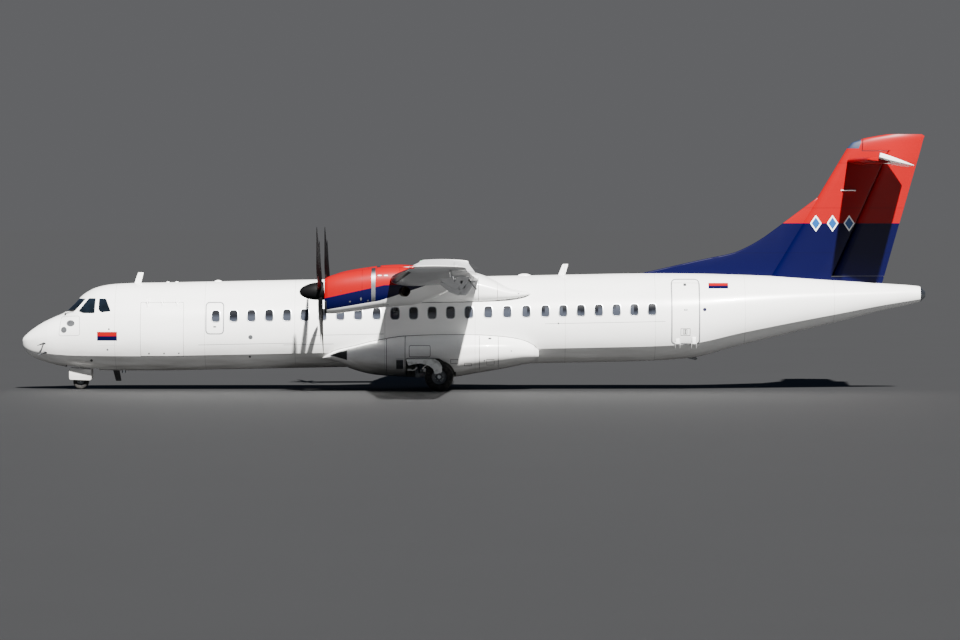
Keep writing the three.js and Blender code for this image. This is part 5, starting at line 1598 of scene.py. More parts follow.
class AIRLINER_OT_nacelles(bpy.types.Operator):
    """Engine nacelles in red over blue, with their intakes, exhausts and the engines inside"""

    bl_idname = "airliner.nacelles"
    bl_label = "Nacelles"

    def execute(self, context):
        for side, label in SIDES:
            y = side * ENGINE_Y
            shell = rounded_loft(NACELLE, NACELLE_POWER, 96, NACELLE_STEP, y)
            shell = scored_along(scored_along(shell, NACELLE_RED_LINE), NACELLE_BELLY_LINE)
            for x in (*NACELLE_BAND, INTAKE_LIP[0]):
                shell = scored(shell, (x, 0, 0), (1, 0, 0))
            on_belly = below(NACELLE_BELLY_LINE)
            shell = painted(shell, SIDE_BLUE, below(NACELLE_RED_LINE))
            shell = painted(shell, BELLY, on_belly)
            band_from, band_to = NACELLE_BAND
            shell = painted(
                shell, STRAP, lambda c: (c[:, 0] > band_from) & (c[:, 0] < band_to) & ~on_belly(c))
            shell = painted(shell, DUCT, lambda c: (c[:, 0] < INTAKE_LIP[0]) & (c[:, 2] < INTAKE_LIP[1]))
            stub = exhaust(side, EXHAUST_FROM, EXHAUST_TO, EXHAUST_RADIUS)
            pipe = exhaust(side, BORE_FROM, BORE_TO, EXHAUST_RADIUS - EXHAUST_WALL)
            # The insides of the intake duct and of the engine room are black as painted shade; the lip ahead
            # of the duct is black rubber
            mouth = painted(rounded_loft(INTAKE, NACELLE_POWER, 48, INTAKE_STEP, y), DUCT)
            shell = carved(shell, stub, operation="UNION")
            shell = carved(shell, wing_tool(), engine_block(y, ENGINE_CLEARANCE, DUCT), mouth, pipe)
            skin(f"nacelle_{label}", "skin", shell, NACELLE_FINISHES, sharp=25)
            skin(f"engine_{label}", "casing", engine_block(y, 0), ["engine_casing_cast"])
        return {"FINISHED"}


# Propeller blade: radius, chord, pitch in degrees, sweep, thickness as a share of the chord
BLADE = [
    (150, 130, 60, 0, 0.3),
    (300, 150, 55, 0, 0.3),
    (520, 200, 42, -8, 0.1),
    (900, 245, 26, -14, 0.1),
    (1350, 240, 15, 4, 0.1),
    (1750, 190, 9, 42, 0.1),
    (1965, 90, 7, 78, 0.1),
]
BLADE_AXIS, BLADES, BLADE_PHASE = 0.45, 6, math.radians(20)
HUB_FRONT, HUB_REAR, HUB_RADIUS, HUB_FLARE, HUB_EDGE = -90, 122, 262, 8, 6
SPINNER_TIP, SPINNER_RADIUS, SPINNER_POWER = 8463, 260, 1.6


def blade_section(radius):
    _, chord, pitch, sweep, thickness = table_at(BLADE, radius)
    a = math.radians(pitch)
    ring = []
    for u, w in whole_outline(thickness, 0, 12):
        along, across = (u - BLADE_AXIS) * chord + sweep, w * chord
        x = along * math.sin(a) + across * math.cos(a)
        ring.append((x, along * math.cos(a) - across * math.sin(a), radius))
    return ring


class AIRLINER_OT_propellers(bpy.types.Operator):
    """Six-bladed propellers and their spinners"""

    bl_idname = "airliner.propellers"
    bl_label = "Propellers"

    def execute(self, context):
        blade = loft([blade_section(radius) for radius in np.linspace(BLADE[0][0], BLADE[-1][0], 26)])
        blades = [turned(blade, BLADE_PHASE + 2 * math.pi * k / BLADES, "X") for k in range(BLADES)]
        hub = bar((HUB_FRONT, 0, 0), (HUB_REAR, 0, 0), HUB_RADIUS, HUB_RADIUS + HUB_FLARE, 72, HUB_EDGE)
        front = SPINNER_TIP - PROP_X
        length = HUB_FRONT - SECTION_GAP - front
        shares = np.linspace(1, 0, 30) ** SPINNER_POWER
        profile = [(length * (1 - t), SPINNER_RADIUS * math.sqrt(1 - t ** SPINNER_POWER)) for t in shares]
        nose = lathe(profile, (front, 0, 0), (HUB_FRONT, 0, 0), 72)
        for side, label in SIDES:
            for name, shape in (("propeller", joined(hub, *blades)), ("spinner", nose)):
                tilted = moved(turned(shape, -PROP_TILT, "Y"), PROP_X, side * ENGINE_Y, PROP_Z)
                finishes = ["blade_composite_coated"]
                skin(f"{name}_{label}", "shell", tilted, finishes, f"propeller_{label}")
        return {"FINISHED"}


# Landing gear

def wheel_lathe(profile, x, y, z, paint=0, sides=96, looped=False):
    """A profile of place along the axle and radius, turned about the axle."""
    return lathe(profile, (x, y, z), (x, y + 1, z), sides, paint, looped)


# The tyre's side from above its bead, as shares of its half width and of its radius
TYRE_SIDE = [(0.78, 0.53), (0.93, 0.6), (1.0, 0.74), (0.98, 0.84), (0.88, 0.93), (0.72, 0.975)]
TYRE_BEAD, GROOVE_DEPTH, GROOVE_HALF, TREAD_WIDTH = 0.62, 0.022, 0.05, 0.92


def tyre_profile(radius, rim, half_width):
    """The tyre's section: bead, bulging sidewall, shoulder, and a crown with grooves."""
    groove_depth, groove = GROOVE_DEPTH * radius, GROOVE_HALF * half_width
    half = [(TYRE_BEAD, rim / radius), *TYRE_SIDE]
    side = curve_through([(w * half_width, r * radius) for w, r in half], 3).tolist()
    count = sizes().wheel_grooves
    crown = []
    for k in range(count, 0, -1):
        middle = (k - (count + 1) / 2) * TREAD_WIDTH * half_width / count
        outer = radius * (1 - 0.02 * (middle / (0.7 * half_width)) ** 2)
        steps = ((groove, 0), (0.7 * groove, -groove_depth), (-0.7 * groove, -groove_depth), (-groove, 0))
        crown += [(middle + offset, outer + depth) for offset, depth in steps]
    return side + crown + [(-along, r) for along, r in reversed(side)]


RIM_BOLTS = 8
# Section of a wheel half: place along the axle as a share of its half width and in mm more, then its radius
# as a share of the rim's and in mm more
RIM_SECTION = [
    (-1, 0, 1, -2), (-1, -5, 1, 6), (-1, 3, 1, 8), (1, -3, 1, 8), (1, 5, 1, 6), (1, 0, 1, -2),
    (1, -8, 1, -10), (0.45, 0, 0.86, 0), (0.3, 0, 0.62, 0), (0.42, 0, 0.46, 0), (0.95, 0, 0.4, 0),
    (1, 0, 0.36, 0), (0.2, 0, 0.3, 0), (-0.5, 0, 0.3, 0), (-0.5, 0, 0.8, 0), (-0.8, 0, 0.88, 0),
]
RIM_HALF = 0.66  # a wheel half's half width, as a share of the tyre's
# Where caps and bolts start and end, as shares of the tyre's half width, then radii as shares of the rim's
CAP_ENDS, BOLT_ENDS, CAP_SIZE, BOLT_SIZE, BOLT_CIRCLE = (0.1, 0.72), (0.1, 0.36), 0.24, 0.055, 0.56
RIM_FINISHES = ("gear_enamel", "aluminium_brushed")
GEAR_FINISHES = ("white_gear_enamel", "aluminium_brushed", "steel_chromed", "seal_rubber", "gear_enamel")
BARE, CHROME, ENAMEL = 1, 2, 4


def wheel_pair(x, y, z, radius, rim, half_width, spacing):
    """Rims with their axle, caps and bolts, and the two tyres, on one axle."""
    rims = []
    for side in (-1, 1):
        caps = [y + side * (spacing + end * half_width) for end in CAP_ENDS]
        bolts = [y + side * (spacing + end * half_width) for end in BOLT_ENDS]
        w = RIM_HALF * half_width
        disc = [(side * (a * w + b), c * rim + d) for a, b, c, d in RIM_SECTION]
        rims.append(wheel_lathe(disc, x, y + side * spacing, z, looped=True))
        rims.append(bar(*((x, place, z) for place in caps), CAP_SIZE * rim, edge=6, paint=BARE))
        for k in range(RIM_BOLTS):
            angle = 2 * math.pi * (k + 0.5) / RIM_BOLTS
            bolt_x, bolt_z = x + BOLT_CIRCLE * rim * math.cos(angle), z + BOLT_CIRCLE * rim * math.sin(angle)
            ends = [(bolt_x, place, bolt_z) for place in bolts]
            rims.append(bar(*ends, BOLT_SIZE * rim, sides=6, paint=BARE))
    rims.append(bar((x, y - spacing, z), (x, y + spacing, z), rim * AXLE_SHARE - 1, paint=BARE))
    profile = tyre_profile(radius, rim, half_width)
    tyres = [wheel_lathe(profile, x, y + side * spacing, z, looped=True) for side in (-1, 1)]
    return joined(*rims), tyres


# Main leg, for the right side, x from the axle
LEG_ROOT = (-800, -480, 1120, 1330, 760)  # x from and to, y from and to, bottom
LEG_BARS = [
    ((-640, 1250, 830), (-640, 2050, 470), 85, 75),
    ((-640, 1955, 470), (-640, 2145, 470), 80, 80),
    ((-580, 1450, 860), (-510, 2050, 600), 55, 42),
]
ARM_HALF, ARM_COLLAR = 50, 36
# Trailing arm outline: x from the axle, z, whether z is from the axle's height, and which way it grows
ARM_OUTLINE = [(-580, 408, 0, -1), (0, -70, 1, -1), (0, 75, 1, 1), (-240, 130, 1, 1), (-580, 545, 0, 1)]
LEG_DOOR = [
    (11575, 955), (12430, 955), (12560, 880), (12640, 740), (12640, 560), (12420, 500),
    (12380, 660), (12250, 760), (12000, 830), (11800, 800), (11640, 760),
]
LEG_DOOR_Y, LEG_DOOR_CORNER, LEG_DOOR_EDGE = (2420, 2438), 40, 4
LEG_DOOR_ARM = (11900, 900, 2080, 2425, 22)  # x, z, y from and to, radius
LEG_EDGE, LEG_BAR_EDGE, ARM_EDGE = 14, 8, 12


def trailing_arm(grow=0.0):
    near, far = MAIN_TRACK - ARM_HALF - grow, MAIN_TRACK + ARM_HALF + grow
    radius = MAIN_RIM * AXLE_SHARE + ARM_COLLAR + grow
    collar = bar((MAIN_X, near, MAIN_AXLE_Z), (MAIN_X, far, MAIN_AXLE_Z), radius, sides=48)
    outline = []
    for ahead, height, from_axle, way in ARM_OUTLINE:
        outline.append((MAIN_X + ahead, height + from_axle * MAIN_AXLE_Z + way * grow))
    arm = prism(outline, near, far) if grow else cushion(outline, near, far, ARM_EDGE)
    whole = carved(collar, arm, operation="UNION")
    if grow:
        return whole
    bore = MAIN_RIM * AXLE_SHARE + AXLE_GAP
    ends = [(MAIN_X, y, MAIN_AXLE_Z) for y in (near - ARM_HALF, far + ARM_HALF)]
    return carved(whole, bar(*ends, bore, sides=48, paint=BARE))


class AIRLINER_OT_main_gear(bpy.types.Operator):
    """Main legs with their trailing arms, twin wheels and leg doors"""

    bl_idname = "airliner.main_gear"
    bl_label = "Main landing gear"

    def execute(self, context):
        x0, x1, y0, y1, bottom = LEG_ROOT
        roof = GEAR_BAY[5] - SECTION_GAP
        root = cushion(rectangle(MAIN_X + x0, MAIN_X + x1, bottom, roof), y0, y1, LEG_EDGE)
        bars = []
        for (ax, ay, az), (bx, by, bz), *radii in LEG_BARS:
            bars.append(bar((MAIN_X + ax, ay, az), (MAIN_X + bx, by, bz), *radii, 40, LEG_BAR_EDGE))
        arm_room = trailing_arm(SECTION_GAP)
        leg = joined(root, *(carved(part, arm_room) for part in bars[:2]), bars[2])
        axle = (MAIN_X, MAIN_TRACK, MAIN_AXLE_Z)
        rims, tyres = wheel_pair(*axle, MAIN_AXLE_Z, MAIN_RIM, MAIN_HALF_WIDTH, MAIN_SPACING)
        arm = trailing_arm()
        x, z, near, far, radius = LEG_DOOR_ARM
        leg_door = cushion(rounded(LEG_DOOR, LEG_DOOR_CORNER), *LEG_DOOR_Y, LEG_DOOR_EDGE)
        leg_door = joined(leg_door, bar((x, near, z), (x, far, z), radius, sides=20))
        for side, label in SIDES:
            wheels = f"main_wheels_{label}"
            skin(f"main_rims_{label}", "turned", mirrored(rims, side), RIM_FINISHES, wheels)
            for tyre, where in zip(tyres, ("inner", "outer")):
                node = f"main_tyre_{label}_{where}"
                skin(node, "moulded", mirrored(tyre, side), ["tyre_rubber_moulded"], wheels)
            grey = ("gear_enamel", *GEAR_FINISHES[1:])
            for name, shape, finishes in (
                ("main_leg", leg, grey), ("trailing_arm", arm, grey), ("leg_door", leg_door, GEAR_FINISHES)
            ):
                skin(f"{name}_{label}", "forged", mirrored(shape, side), finishes)
        return {"FINISHED"}


NOSE_LEG_FOOT, NOSE_LEG_RADIUS = 520, 62
NOSE_HEAD = (120, 150, 80, 10)  # half length, half width, depth, rounding
PISTON_RADIUS, FORK_COLLAR, FORK_HALF = 42, 56, 60
TOWING_LUG = (130, 40, 28)  # front and back from the leg, half width
TORQUE_LINK, LINK_HALF = [(30, 290), (150, 370), (60, 480), (30, 480)], 18
BRACE_FOOT, BRACE_RADIUS, BRACE_LUG = (72, 640), 26, (110, 110, 70, 20)  # lug: length, half width, depth, end
NOSE_DOOR = (1435, 2100, 640, 270, 400, 9)  # x from and to, top, bottom, y, half thickness
NOSE_DOOR_CORNERS, NOSE_DOOR_EDGE, NOSE_DOOR_RISE, NOSE_DOOR_FALL = (60, 60, 5, 5), 3, 20, 40


class AIRLINER_OT_nose_gear(bpy.types.Operator):
    """Nose leg, steering fork, twin wheels, drag brace and nose doors"""

    bl_idname = "airliner.nose_gear"
    bl_label = "Nose landing gear"

    def execute(self, context):
        x, z, roof = NOSE_WHEEL_X, NOSE_AXLE_Z, NOSE_BAY[5] - SECTION_GAP
        half_length, half_width, depth, edge = NOSE_HEAD
        post = bar((x, 0, NOSE_LEG_FOOT), (x, 0, roof), NOSE_LEG_RADIUS, sides=48)
        head = rectangle(x - half_length, x + half_length, roof - depth, roof)
        head = cushion(head, -half_width, half_width, edge)
        skin("nose_leg", "forged", joined(post, head), GEAR_FINISHES)

        front, back, half = TOWING_LUG
        link = [(x + ahead, height) for ahead, height in TORQUE_LINK]
        fork = joined(
            bar((x, 0, z), (x, 0, NOSE_LEG_FOOT - SECTION_GAP), PISTON_RADIUS, sides=40, paint=CHROME),
            bar((x, -FORK_HALF, z), (x, FORK_HALF, z), FORK_COLLAR, sides=48, edge=5),
            box(x - front, x - back, -half, half, z - half, z + half),
            cushion(link, -LINK_HALF, LINK_HALF, 5, paint=ENAMEL),
        )
        skin("nose_fork", "forged", fork, GEAR_FINISHES, "nose_fork")

        rims, tyres = wheel_pair(x, 0, z, NOSE_AXLE_Z, NOSE_RIM, NOSE_HALF_WIDTH, NOSE_SPACING)
        skin("nose_rims", "turned", rims, RIM_FINISHES, "nose_wheels")
        for tyre, (_, label) in zip(tyres, SIDES):
            skin(f"nose_tyre_{label}", "moulded", tyre, ["tyre_rubber_moulded"], "nose_wheels")

        length, lug_half, lug_depth, end = BRACE_LUG
        lug_end = NOSE_BAY[1] - end
        lug = cushion(rectangle(lug_end - length, lug_end, roof - lug_depth, roof), -lug_half, lug_half, 8)
        foot = (x + BRACE_FOOT[0], 0, BRACE_FOOT[1])
        brace = bar(foot, (lug_end - length / 2, 0, roof - lug_depth / 2), BRACE_RADIUS, sides=24)
        room = bar((x, 0, NOSE_LEG_FOOT), (x, 0, roof), NOSE_LEG_RADIUS + SECTION_GAP, sides=48)
        skin("nose_drag_brace", "forged", joined(carved(brace, room), lug), GEAR_FINISHES)

        x0, x1, top, bottom, y, t = NOSE_DOOR
        outline = [(x0, bottom + NOSE_DOOR_RISE), (x1, bottom), (x1, top - NOSE_DOOR_FALL), (x0, top)]
        panel = cushion(rounded(outline, NOSE_DOOR_CORNERS), y - t, y + t, NOSE_DOOR_EDGE)
        panel = carved(panel, nose_loft(SECTION_GAP))
        for side, label in SIDES:
            skin(f"nose_door_{label}", "skin", mirrored(panel, side), SKIN_FINISHES)
        return {"FINISHED"}


# Markings and small fittings

COAT, DARK, GREY, METAL, RED_MARK, BLUE_MARK, CLEAR, RED_LENS, GREEN_LENS = range(9)
FITTING_FINISHES = (
    "white_polyurethane_sprayed", "seal_rubber", "grey_marking_paint", "aluminium_brushed",
    "red_polyurethane_sprayed", "blue_polyurethane_sprayed", "clear_lens", "red_lens", "green_lens",
)
on_gear_fairing = rounded_place(GEAR_FAIRING, GEAR_FAIRING_POWER)
on_wing_fairing = rounded_place(WING_FAIRING, WING_FAIRING_POWER)


def fittings(name, shapes, body="airframe"):
    piece(name, joined(*shapes), FITTING_FINISHES, body)


def strip(x0, z0, x1, z1, width, side, paint=DARK, place=on_skin, proud=0.8):
    """A narrow straight line painted on a body's side."""
    start, ahead = np.array((x0, z0)), np.array((x1 - x0, z1 - z0), float)
    length = np.linalg.norm(ahead)
    across = np.array((-ahead[1], ahead[0])) / length * width / 2
    rings = []
    for t in np.linspace(0, 1, math.ceil(length / PAD_STEP) + 1):
        edges = ((-1, -3), (-1, proud), (1, proud), (1, -3))
        rings.append([place(*(start + ahead * t + across * way), side, grow) for way, grow in edges])
    return loft(rings, paint)


SUNK = 4  # how far plates and covers reach into the skin


def plate_on(x, z, half_width, half_height, side, paint=GREY, proud=2.0, power=2.0, place=on_skin, steps=24):
    return pad(oval(x, z, half_width, half_height, power, steps), -SUNK, proud, side, paint, place)


def plates_on(rows, side, place=on_skin):
    """A plate for each row of x, z, half width, half height, finish and height above the skin."""
    return [plate_on(*row[:4], side, *row[4:], place=place) for row in rows]


# Three plain stripes, as x from and to, z from the bottom to the top
STRIPE_BLOCKS = [(2330, 2935, 1339, 1742), (20598, 21194, 2943, 3200)]
STRIPE_COLOURS = (COAT, BLUE_MARK, RED_MARK)
STRIPE_STEP, LINE_STEP = 35, 60  # how close the points of their outlines and of the lines' are
REAR_DOT = (20473, 2409, 55, 55)


class AIRLINER_OT_markings(bpy.types.Operator):
    """Plain striped blocks, and the lines painted round doors"""

    bl_idname = "airliner.markings"
    bl_label = "Markings"

    def execute(self, context):
        parts = []
        for x0, x1, z0, z1 in STRIPE_BLOCKS:
            levels = np.linspace(z0, z1, len(STRIPE_COLOURS) + 1)
            for paint, low, high in zip(STRIPE_COLOURS, levels, levels[1:]):
                block = dense(rectangle(x0, x1, low, high), STRIPE_STEP)
                parts += [pad(block, -3, 1.5, side, paint) for side in (-1, 1)]
        for door in DOORS:
            margin = (RUNNING_GAP if swings(door) else SHUT_GAP) + 2
            if door[0] != "cargo_door":
                outline = dense(door_outline(door, margin), LINE_STEP)
                parts.append(line_on(outline, mm(sizes().door_line), door[1], GREY))
        parts += [plate_on(*REAR_DOT, side, BLUE_MARK, 0.9) for side in (-1, 1)]
        fittings("markings", parts)
        return {"FINISHED"}


# Vents and sensors of the nose, on both sides: x, z, half width, half height, finish
NOSE_VENTS = [(1521, 1991, 118, 86, GREY), (1318, 1794, 84, 84, GREY)]
VENT_RIM, VENT_SLATS, SLAT_SHARE = 9, 4, 0.15
NOSE_PANEL = [(1170, 1620), (1798, 1635), (1788, 2207), (1230, 2182)]
PITOTS, PITOT_REACH = [(700, 1383), (735, 1110)], 110
# Round ports and dots along the body: x, z, radius, finish, height above the skin
PORTS = [
    (2690, 1823, 26, DARK, 3), (2640, 1207, 30, GREY, 2), (2138, 874, 40, DARK, 6),
    (3885, 1093, 24, DARK, 3), (4335, 1098, 22, DARK, 3), (4776, 1104, 22, DARK, 3),
    (6921, 1584, 52, METAL, 3), (6891, 994, 30, DARK, 3), (16108, 1996, 24, DARK, 3),
]
STATIC_PORT = (6921, 1584, 52, 52)


def pitot(x, z, side):
    """A probe that stands off the nose and points forward."""
    root = np.array(on_skin(x, z, side, -5))
    elbow = np.array(on_skin(x - 40, z - 12, side, PITOT_REACH))
    foot = pad(oval(x, z, 62, 30), -SUNK, 3, side, METAL)
    route = [root, (root + elbow) / 2 + (-6, 0, -2), elbow, elbow + (-70, 0, -24)]
    arm = hose(curve_through(route, 5), 22, 12, DARK)
    return [foot, arm, bar(elbow + (-60, 0, -20), elbow + (-150, 0, -50), 17, 12, 16, 3, METAL)]


class AIRLINER_OT_nose_fittings(bpy.types.Operator):
    """Vents, sensors and wipers of the nose"""

    bl_idname = "airliner.nose_fittings"
    bl_label = "Nose fittings"

    def execute(self, context):
        parts = []
        for side in (-1, 1):
            parts.append(line_on(dense(rounded(NOSE_PANEL, 70), LINE_STEP), 12, side, GREY))
            for x, z, half_width, half_height, paint in NOSE_VENTS:
                parts.append(plate_on(x, z, half_width, half_height, side, paint, 2))
                rim = oval(x, z, half_width, half_height, 2, 40)
                parts.append(line_on(rim, VENT_RIM, side, METAL, proud=4))
                for k in range(1 - VENT_SLATS, VENT_SLATS):
                    reach = half_width * math.sqrt(1 - (k / VENT_SLATS) ** 2) - 6
                    level = z + k * half_height / VENT_SLATS
                    ends = (x - reach, level, x + reach, level)
                    parts.append(strip(*ends, SLAT_SHARE * half_height, side, DARK, proud=3.5))
            for x, z in PITOTS:
                parts += pitot(x, z, side)
            for x, z, radius, paint, proud in PORTS:
                parts.append(plate_on(x, z, radius, radius, side, paint, proud))
            parts.append(line_on(oval(*STATIC_PORT), 16, side, GREY))
            parts += wiper(side)
        fittings("nose_and_body_fittings", parts)
        return {"FINISHED"}


# The wiper's arm: x, z, height above the skin. Its blade and its pivot: x, z
WIPER_ARM = [(1330, 2285, 14), (1400, 2318, 34), (1480, 2350, 40), (1600, 2362, 26)]
WIPER_BLADE, WIPER_PIVOT = [(1350, 2330), (1480, 2372), (1640, 2378)], (1330, 2262)


def wiper(side):
    """A windscreen wiper parked along the foot of the glass."""
    arm = [on_skin(x, z - 20, side, proud) for x, z, proud in WIPER_ARM]
    blade = [on_skin(x, z, side, 6) for x, z in WIPER_BLADE]
    tubes = [hose(curve_through(arm, 4), 9, 10, DARK), hose(curve_through(blade, 4), 11, 8, DARK)]
    return [*tubes, plate_on(*WIPER_PIVOT, 30, 30, side, DARK, 22)]


# Blade aerials: front x, rear x, root height, tip height, sweep, finish
AERIALS = [
    (3360, 3560, 3140, 3505, 90, COAT),
    (2700, 2900, 674, 240, 80, DARK),
    (16100, 16310, 3380, 3755, 110, COAT),
]
AERIAL_HALF, AERIAL_EDGE, AERIAL_LEAN = 12, 9, 1.4
# Low domes along the roof: middle x, half length, half width, height
ROOF_DOMES = [(4380, 60, 45, 28), (4650, 60, 45, 28), (5890, 120, 70, 42), (15100, 200, 110, 55)]
DOME_POWER, DOME_ROOT, DOME_STEPS = 2.4, 16, 7
BEACON = (9700, 70, 60, 85)
JACKING_PAD = (3050, 60, 487, 637)  # x, radius, bottom, top
SKID, SKID_HALF = [(19880, 985), (20230, 990), (20310, 905), (20262, 868), (20080, 900)], 26
TAIL_LAMP, TAIL_LAMP_Z = (LENGTH - 25, LENGTH - 2), 2844


def dome(x, half_length, half_width, height, paint=COAT):
    """A low rounded cover on the fuselage's centre line."""
    top = fuselage_row(x)[1]
    rings = []
    for angle in np.linspace(0, 0.5 * math.pi, DOME_STEPS):
        size = half_length * math.cos(angle) + 1, half_width * math.cos(angle) + 1
        level = top - DOME_ROOT + (height + DOME_ROOT) * math.sin(angle)
        rings.append(at_depth(oval(x, 0, *size, DOME_POWER, 28), level, "z"))
    return loft(rings, paint)


class AIRLINER_OT_aerials(bpy.types.Operator):
    """Blade aerials, roof covers, beacons, the tail skid and the jacking pad"""

    bl_idname = "airliner.aerials"
    bl_label = "Aerials and covers"

    def execute(self, context):
        parts = []
        for front, back, root, tip, sweep, paint in AERIALS:
            outline = [(front, root), (back, root), (back + sweep, tip), (front + sweep * AERIAL_LEAN, tip)]
            outline = rounded(outline, (2, 2, 25, 25))
            parts.append(cushion(outline, -AERIAL_HALF, AERIAL_HALF, AERIAL_EDGE, paint=paint))
        parts += [*(dome(*row) for row in ROOF_DOMES), dome(*BEACON, RED_LENS)]
        parts.append(cushion(SKID, -SKID_HALF, SKID_HALF, 12, paint=GREY))
        x, radius, bottom, top = JACKING_PAD
        parts.append(bar((x, 0, bottom), (x, 0, top), radius, sides=48, edge=4, paint=METAL))
        parts.append(bar(*((lamp_x, 0, TAIL_LAMP_Z) for lamp_x in TAIL_LAMP), 46, 34, 32, 8, CLEAR))
        fittings("aerials_and_covers", parts)
        return {"FINISHED"}


# Door fittings: door, x, z, half width, half height
HANDLES = [
    ("passenger_door", 19893, 3145, 45, 36), ("passenger_door", 19906, 2400, 52, 24),
    ("passenger_door", 19890, 1742, 18, 62), ("service_door", 19885, 2010, 62, 30),
    ("exit_left", 5855, 1895, 46, 22), ("exit_right", 5855, 1895, 46, 22),
]
HANDLE_WIDTH, HANDLE_HEIGHT = 0.7, 0.5  # as shares of its recess, which is a dark plate of painted shade
DOOR_BOXES = [(19770, 20030, 1640, 1830), (19840, 19935, 1680, 1800)]
# Hinges: door, x of each, y and z of the pin, arm's half width, outlines that the arm and the fixed lug reach
HINGES = [
    ("passenger_door", (19667, 20156), -1275, 1393, 52,
     [(-1250, 1570), (-1296, 1572), (-1316, 1510)], [(-1130, 1300), (-1170, 1240)]),
    ("cargo_door", (3840, 4280, 4720), -1180, 2629, 20,
     [(-1190, 2440), (-1240, 2440), (-1228, 2560)], [(-1010, 2690), (-1040, 2760)]),
]
PIN_RADIUS, LUG_OFFSET, LUG_WIDTH = 24, 12, 14


def pin_arm(y, z, far, x0, x1):
    """A flat arm from a hinge pin to points on the skin."""
    angles = np.arange(12) * math.pi / 6
    spokes = [(y + PIN_RADIUS * math.cos(a), z + PIN_RADIUS * math.sin(a)) for a in angles]
    return cushion(convex([*spokes, *far]), x0, x1, 4, "x", COAT)


def convex(points):
    """The outline round points, in order."""
    points = sorted(map(tuple, points))

    def chain(ordered):
        line = []
        for p in ordered:
            while len(line) > 1 and np.cross(np.subtract(line[-1], line[-2]), np.subtract(p, line[-1])) <= 0:
                line.pop()
            line.append(p)
        return line[:-1]

    return chain(points) + chain(points[::-1])


class AIRLINER_OT_door_fittings(bpy.types.Operator):
    """Handles and hinges of the doors"""

    bl_idname = "airliner.door_fittings"
    bl_label = "Door fittings"

    def execute(self, context):
        sides = {door[0]: door[1] for door in DOORS}
        on_leaf = {door[0]: [] for door in DOORS if swings(door)}
        fixed = []
        for name, x, z, half_width, half_height in HANDLES:
            parts = on_leaf.get(name, fixed)
            # A dark plate of painted shade stands for the handle's recess
            parts.append(plate_on(x, z, half_width, half_height, sides[name], DARK, 1.5, 4))
            handle = half_width * HANDLE_WIDTH, half_height * HANDLE_HEIGHT
            parts.append(plate_on(x, z, *handle, sides[name], METAL, 9, 4))
        for name, places, y, z, half, arm_far, lug_far in HINGES:
            for x in places:
                on_leaf[name].append(pin_arm(y, z, arm_far, x - half, x + half))
                for side in (-1, 1):
                    near = x + side * (half + LUG_OFFSET)
                    start, end = sorted((near, near + side * LUG_WIDTH))
                    fixed.append(pin_arm(y, z, lug_far, start, end))
        for outline in DOOR_BOXES:
            on_leaf["passenger_door"].append(line_on(dense(rectangle(*outline), LINE_STEP), 16, -1, DARK))
        for name, parts in on_leaf.items():
            fittings(f"{name}_fittings", parts, body=name)
        fittings("doorway_fittings", fixed)
        return {"FINISHED"}


# Seams and covers of the two fairings
GEAR_SEAMS, GEAR_SEAM_SHARE = (10984, 11537, 13749, 14311), 0.86
GEAR_COVER = (11668, 12280, 1014, 1338)
COVER_PROUD, COVER_CORNER = 14, 45
GEAR_VENT, VENT_STEPS, SLAT = (11275, 11477, 640, 915), 7, 16
GEAR_INLET = [(9276, 1050), (9803, 906), (9803, 1193)]
WING_SEAMS, WING_SEAM_SHARE = (13722, 14289), 0.8
WING_DOT = (14921, 2890, 26, 18)
GEAR_PANELS = [(12900, 13112, 817, 924), (13310, 13505, 745, 817), (13970, 14184, 763, 924)]
GEAR_DOTS = [(14060, 1549, 52, 24, DARK), (13900, 900, 20, 20, GREY), (14700, 1180, 20, 20, GREY)]


def fairing_seam(table, x, share, side, place):
    """A seam down a fairing's side, over a share of its height."""
    _, a, b, _ = table_at(table, x)
    middle, reach = (a + b) / 2, share * abs(a - b) / 2
    return strip(x, middle - reach, x, middle + reach, 15, side, DARK, place)


class AIRLINER_OT_fairing_details(bpy.types.Operator):
    """Seams, covers and vents of the two fairings"""

    bl_idname = "airliner.fairing_details"
    bl_label = "Fairing details"

    def execute(self, context):
        parts = []
        for side in (-1, 1):
            low, high = on_gear_fairing, on_wing_fairing
            parts += [fairing_seam(GEAR_FAIRING, x, GEAR_SEAM_SHARE, side, low) for x in GEAR_SEAMS]
            parts += [fairing_seam(WING_FAIRING, x, WING_SEAM_SHARE, side, high) for x in WING_SEAMS]
            cover = dense(rounded(rectangle(*GEAR_COVER), COVER_CORNER), LINE_STEP)
            parts.append(pad(cover, -SUNK, COVER_PROUD, side, COAT, low))
            parts.append(line_on(cover, 14, side, DARK, low))
            # Dark plates of painted shade stand for the openings of the inlet and of the vent behind its
            # slats
            for outline in (GEAR_INLET, rectangle(*GEAR_VENT)):
                parts.append(pad(dense(outline, 40), -SUNK, 2, side, DARK, low))
            x0, x1, z0, z1 = GEAR_VENT
            for level in np.linspace(z0 + 20, z1 - 20, VENT_STEPS):
                parts.append(strip(x0 + 12, level, x1 - 12, level, SLAT, side, GREY, low, 9))
            parts.append(strip(x0 - 20, z1 + 30, x1 + 20, z1 + 30, SLAT, side, METAL, low, 4))
            parts.append(plate_on(*WING_DOT, side, GREY, 2, place=high))
            parts += [plate_on(*row[:4], side, row[4], 2, place=low) for row in GEAR_DOTS]
            for panel in GEAR_PANELS:
                parts.append(line_on(dense(rectangle(*panel), LINE_STEP), 12, side, DARK, low))
        fittings("fairing_details", parts)
        return {"FINISHED"}


# Details of the wings, engines, tail and gear

CREASE_BEAD = 9


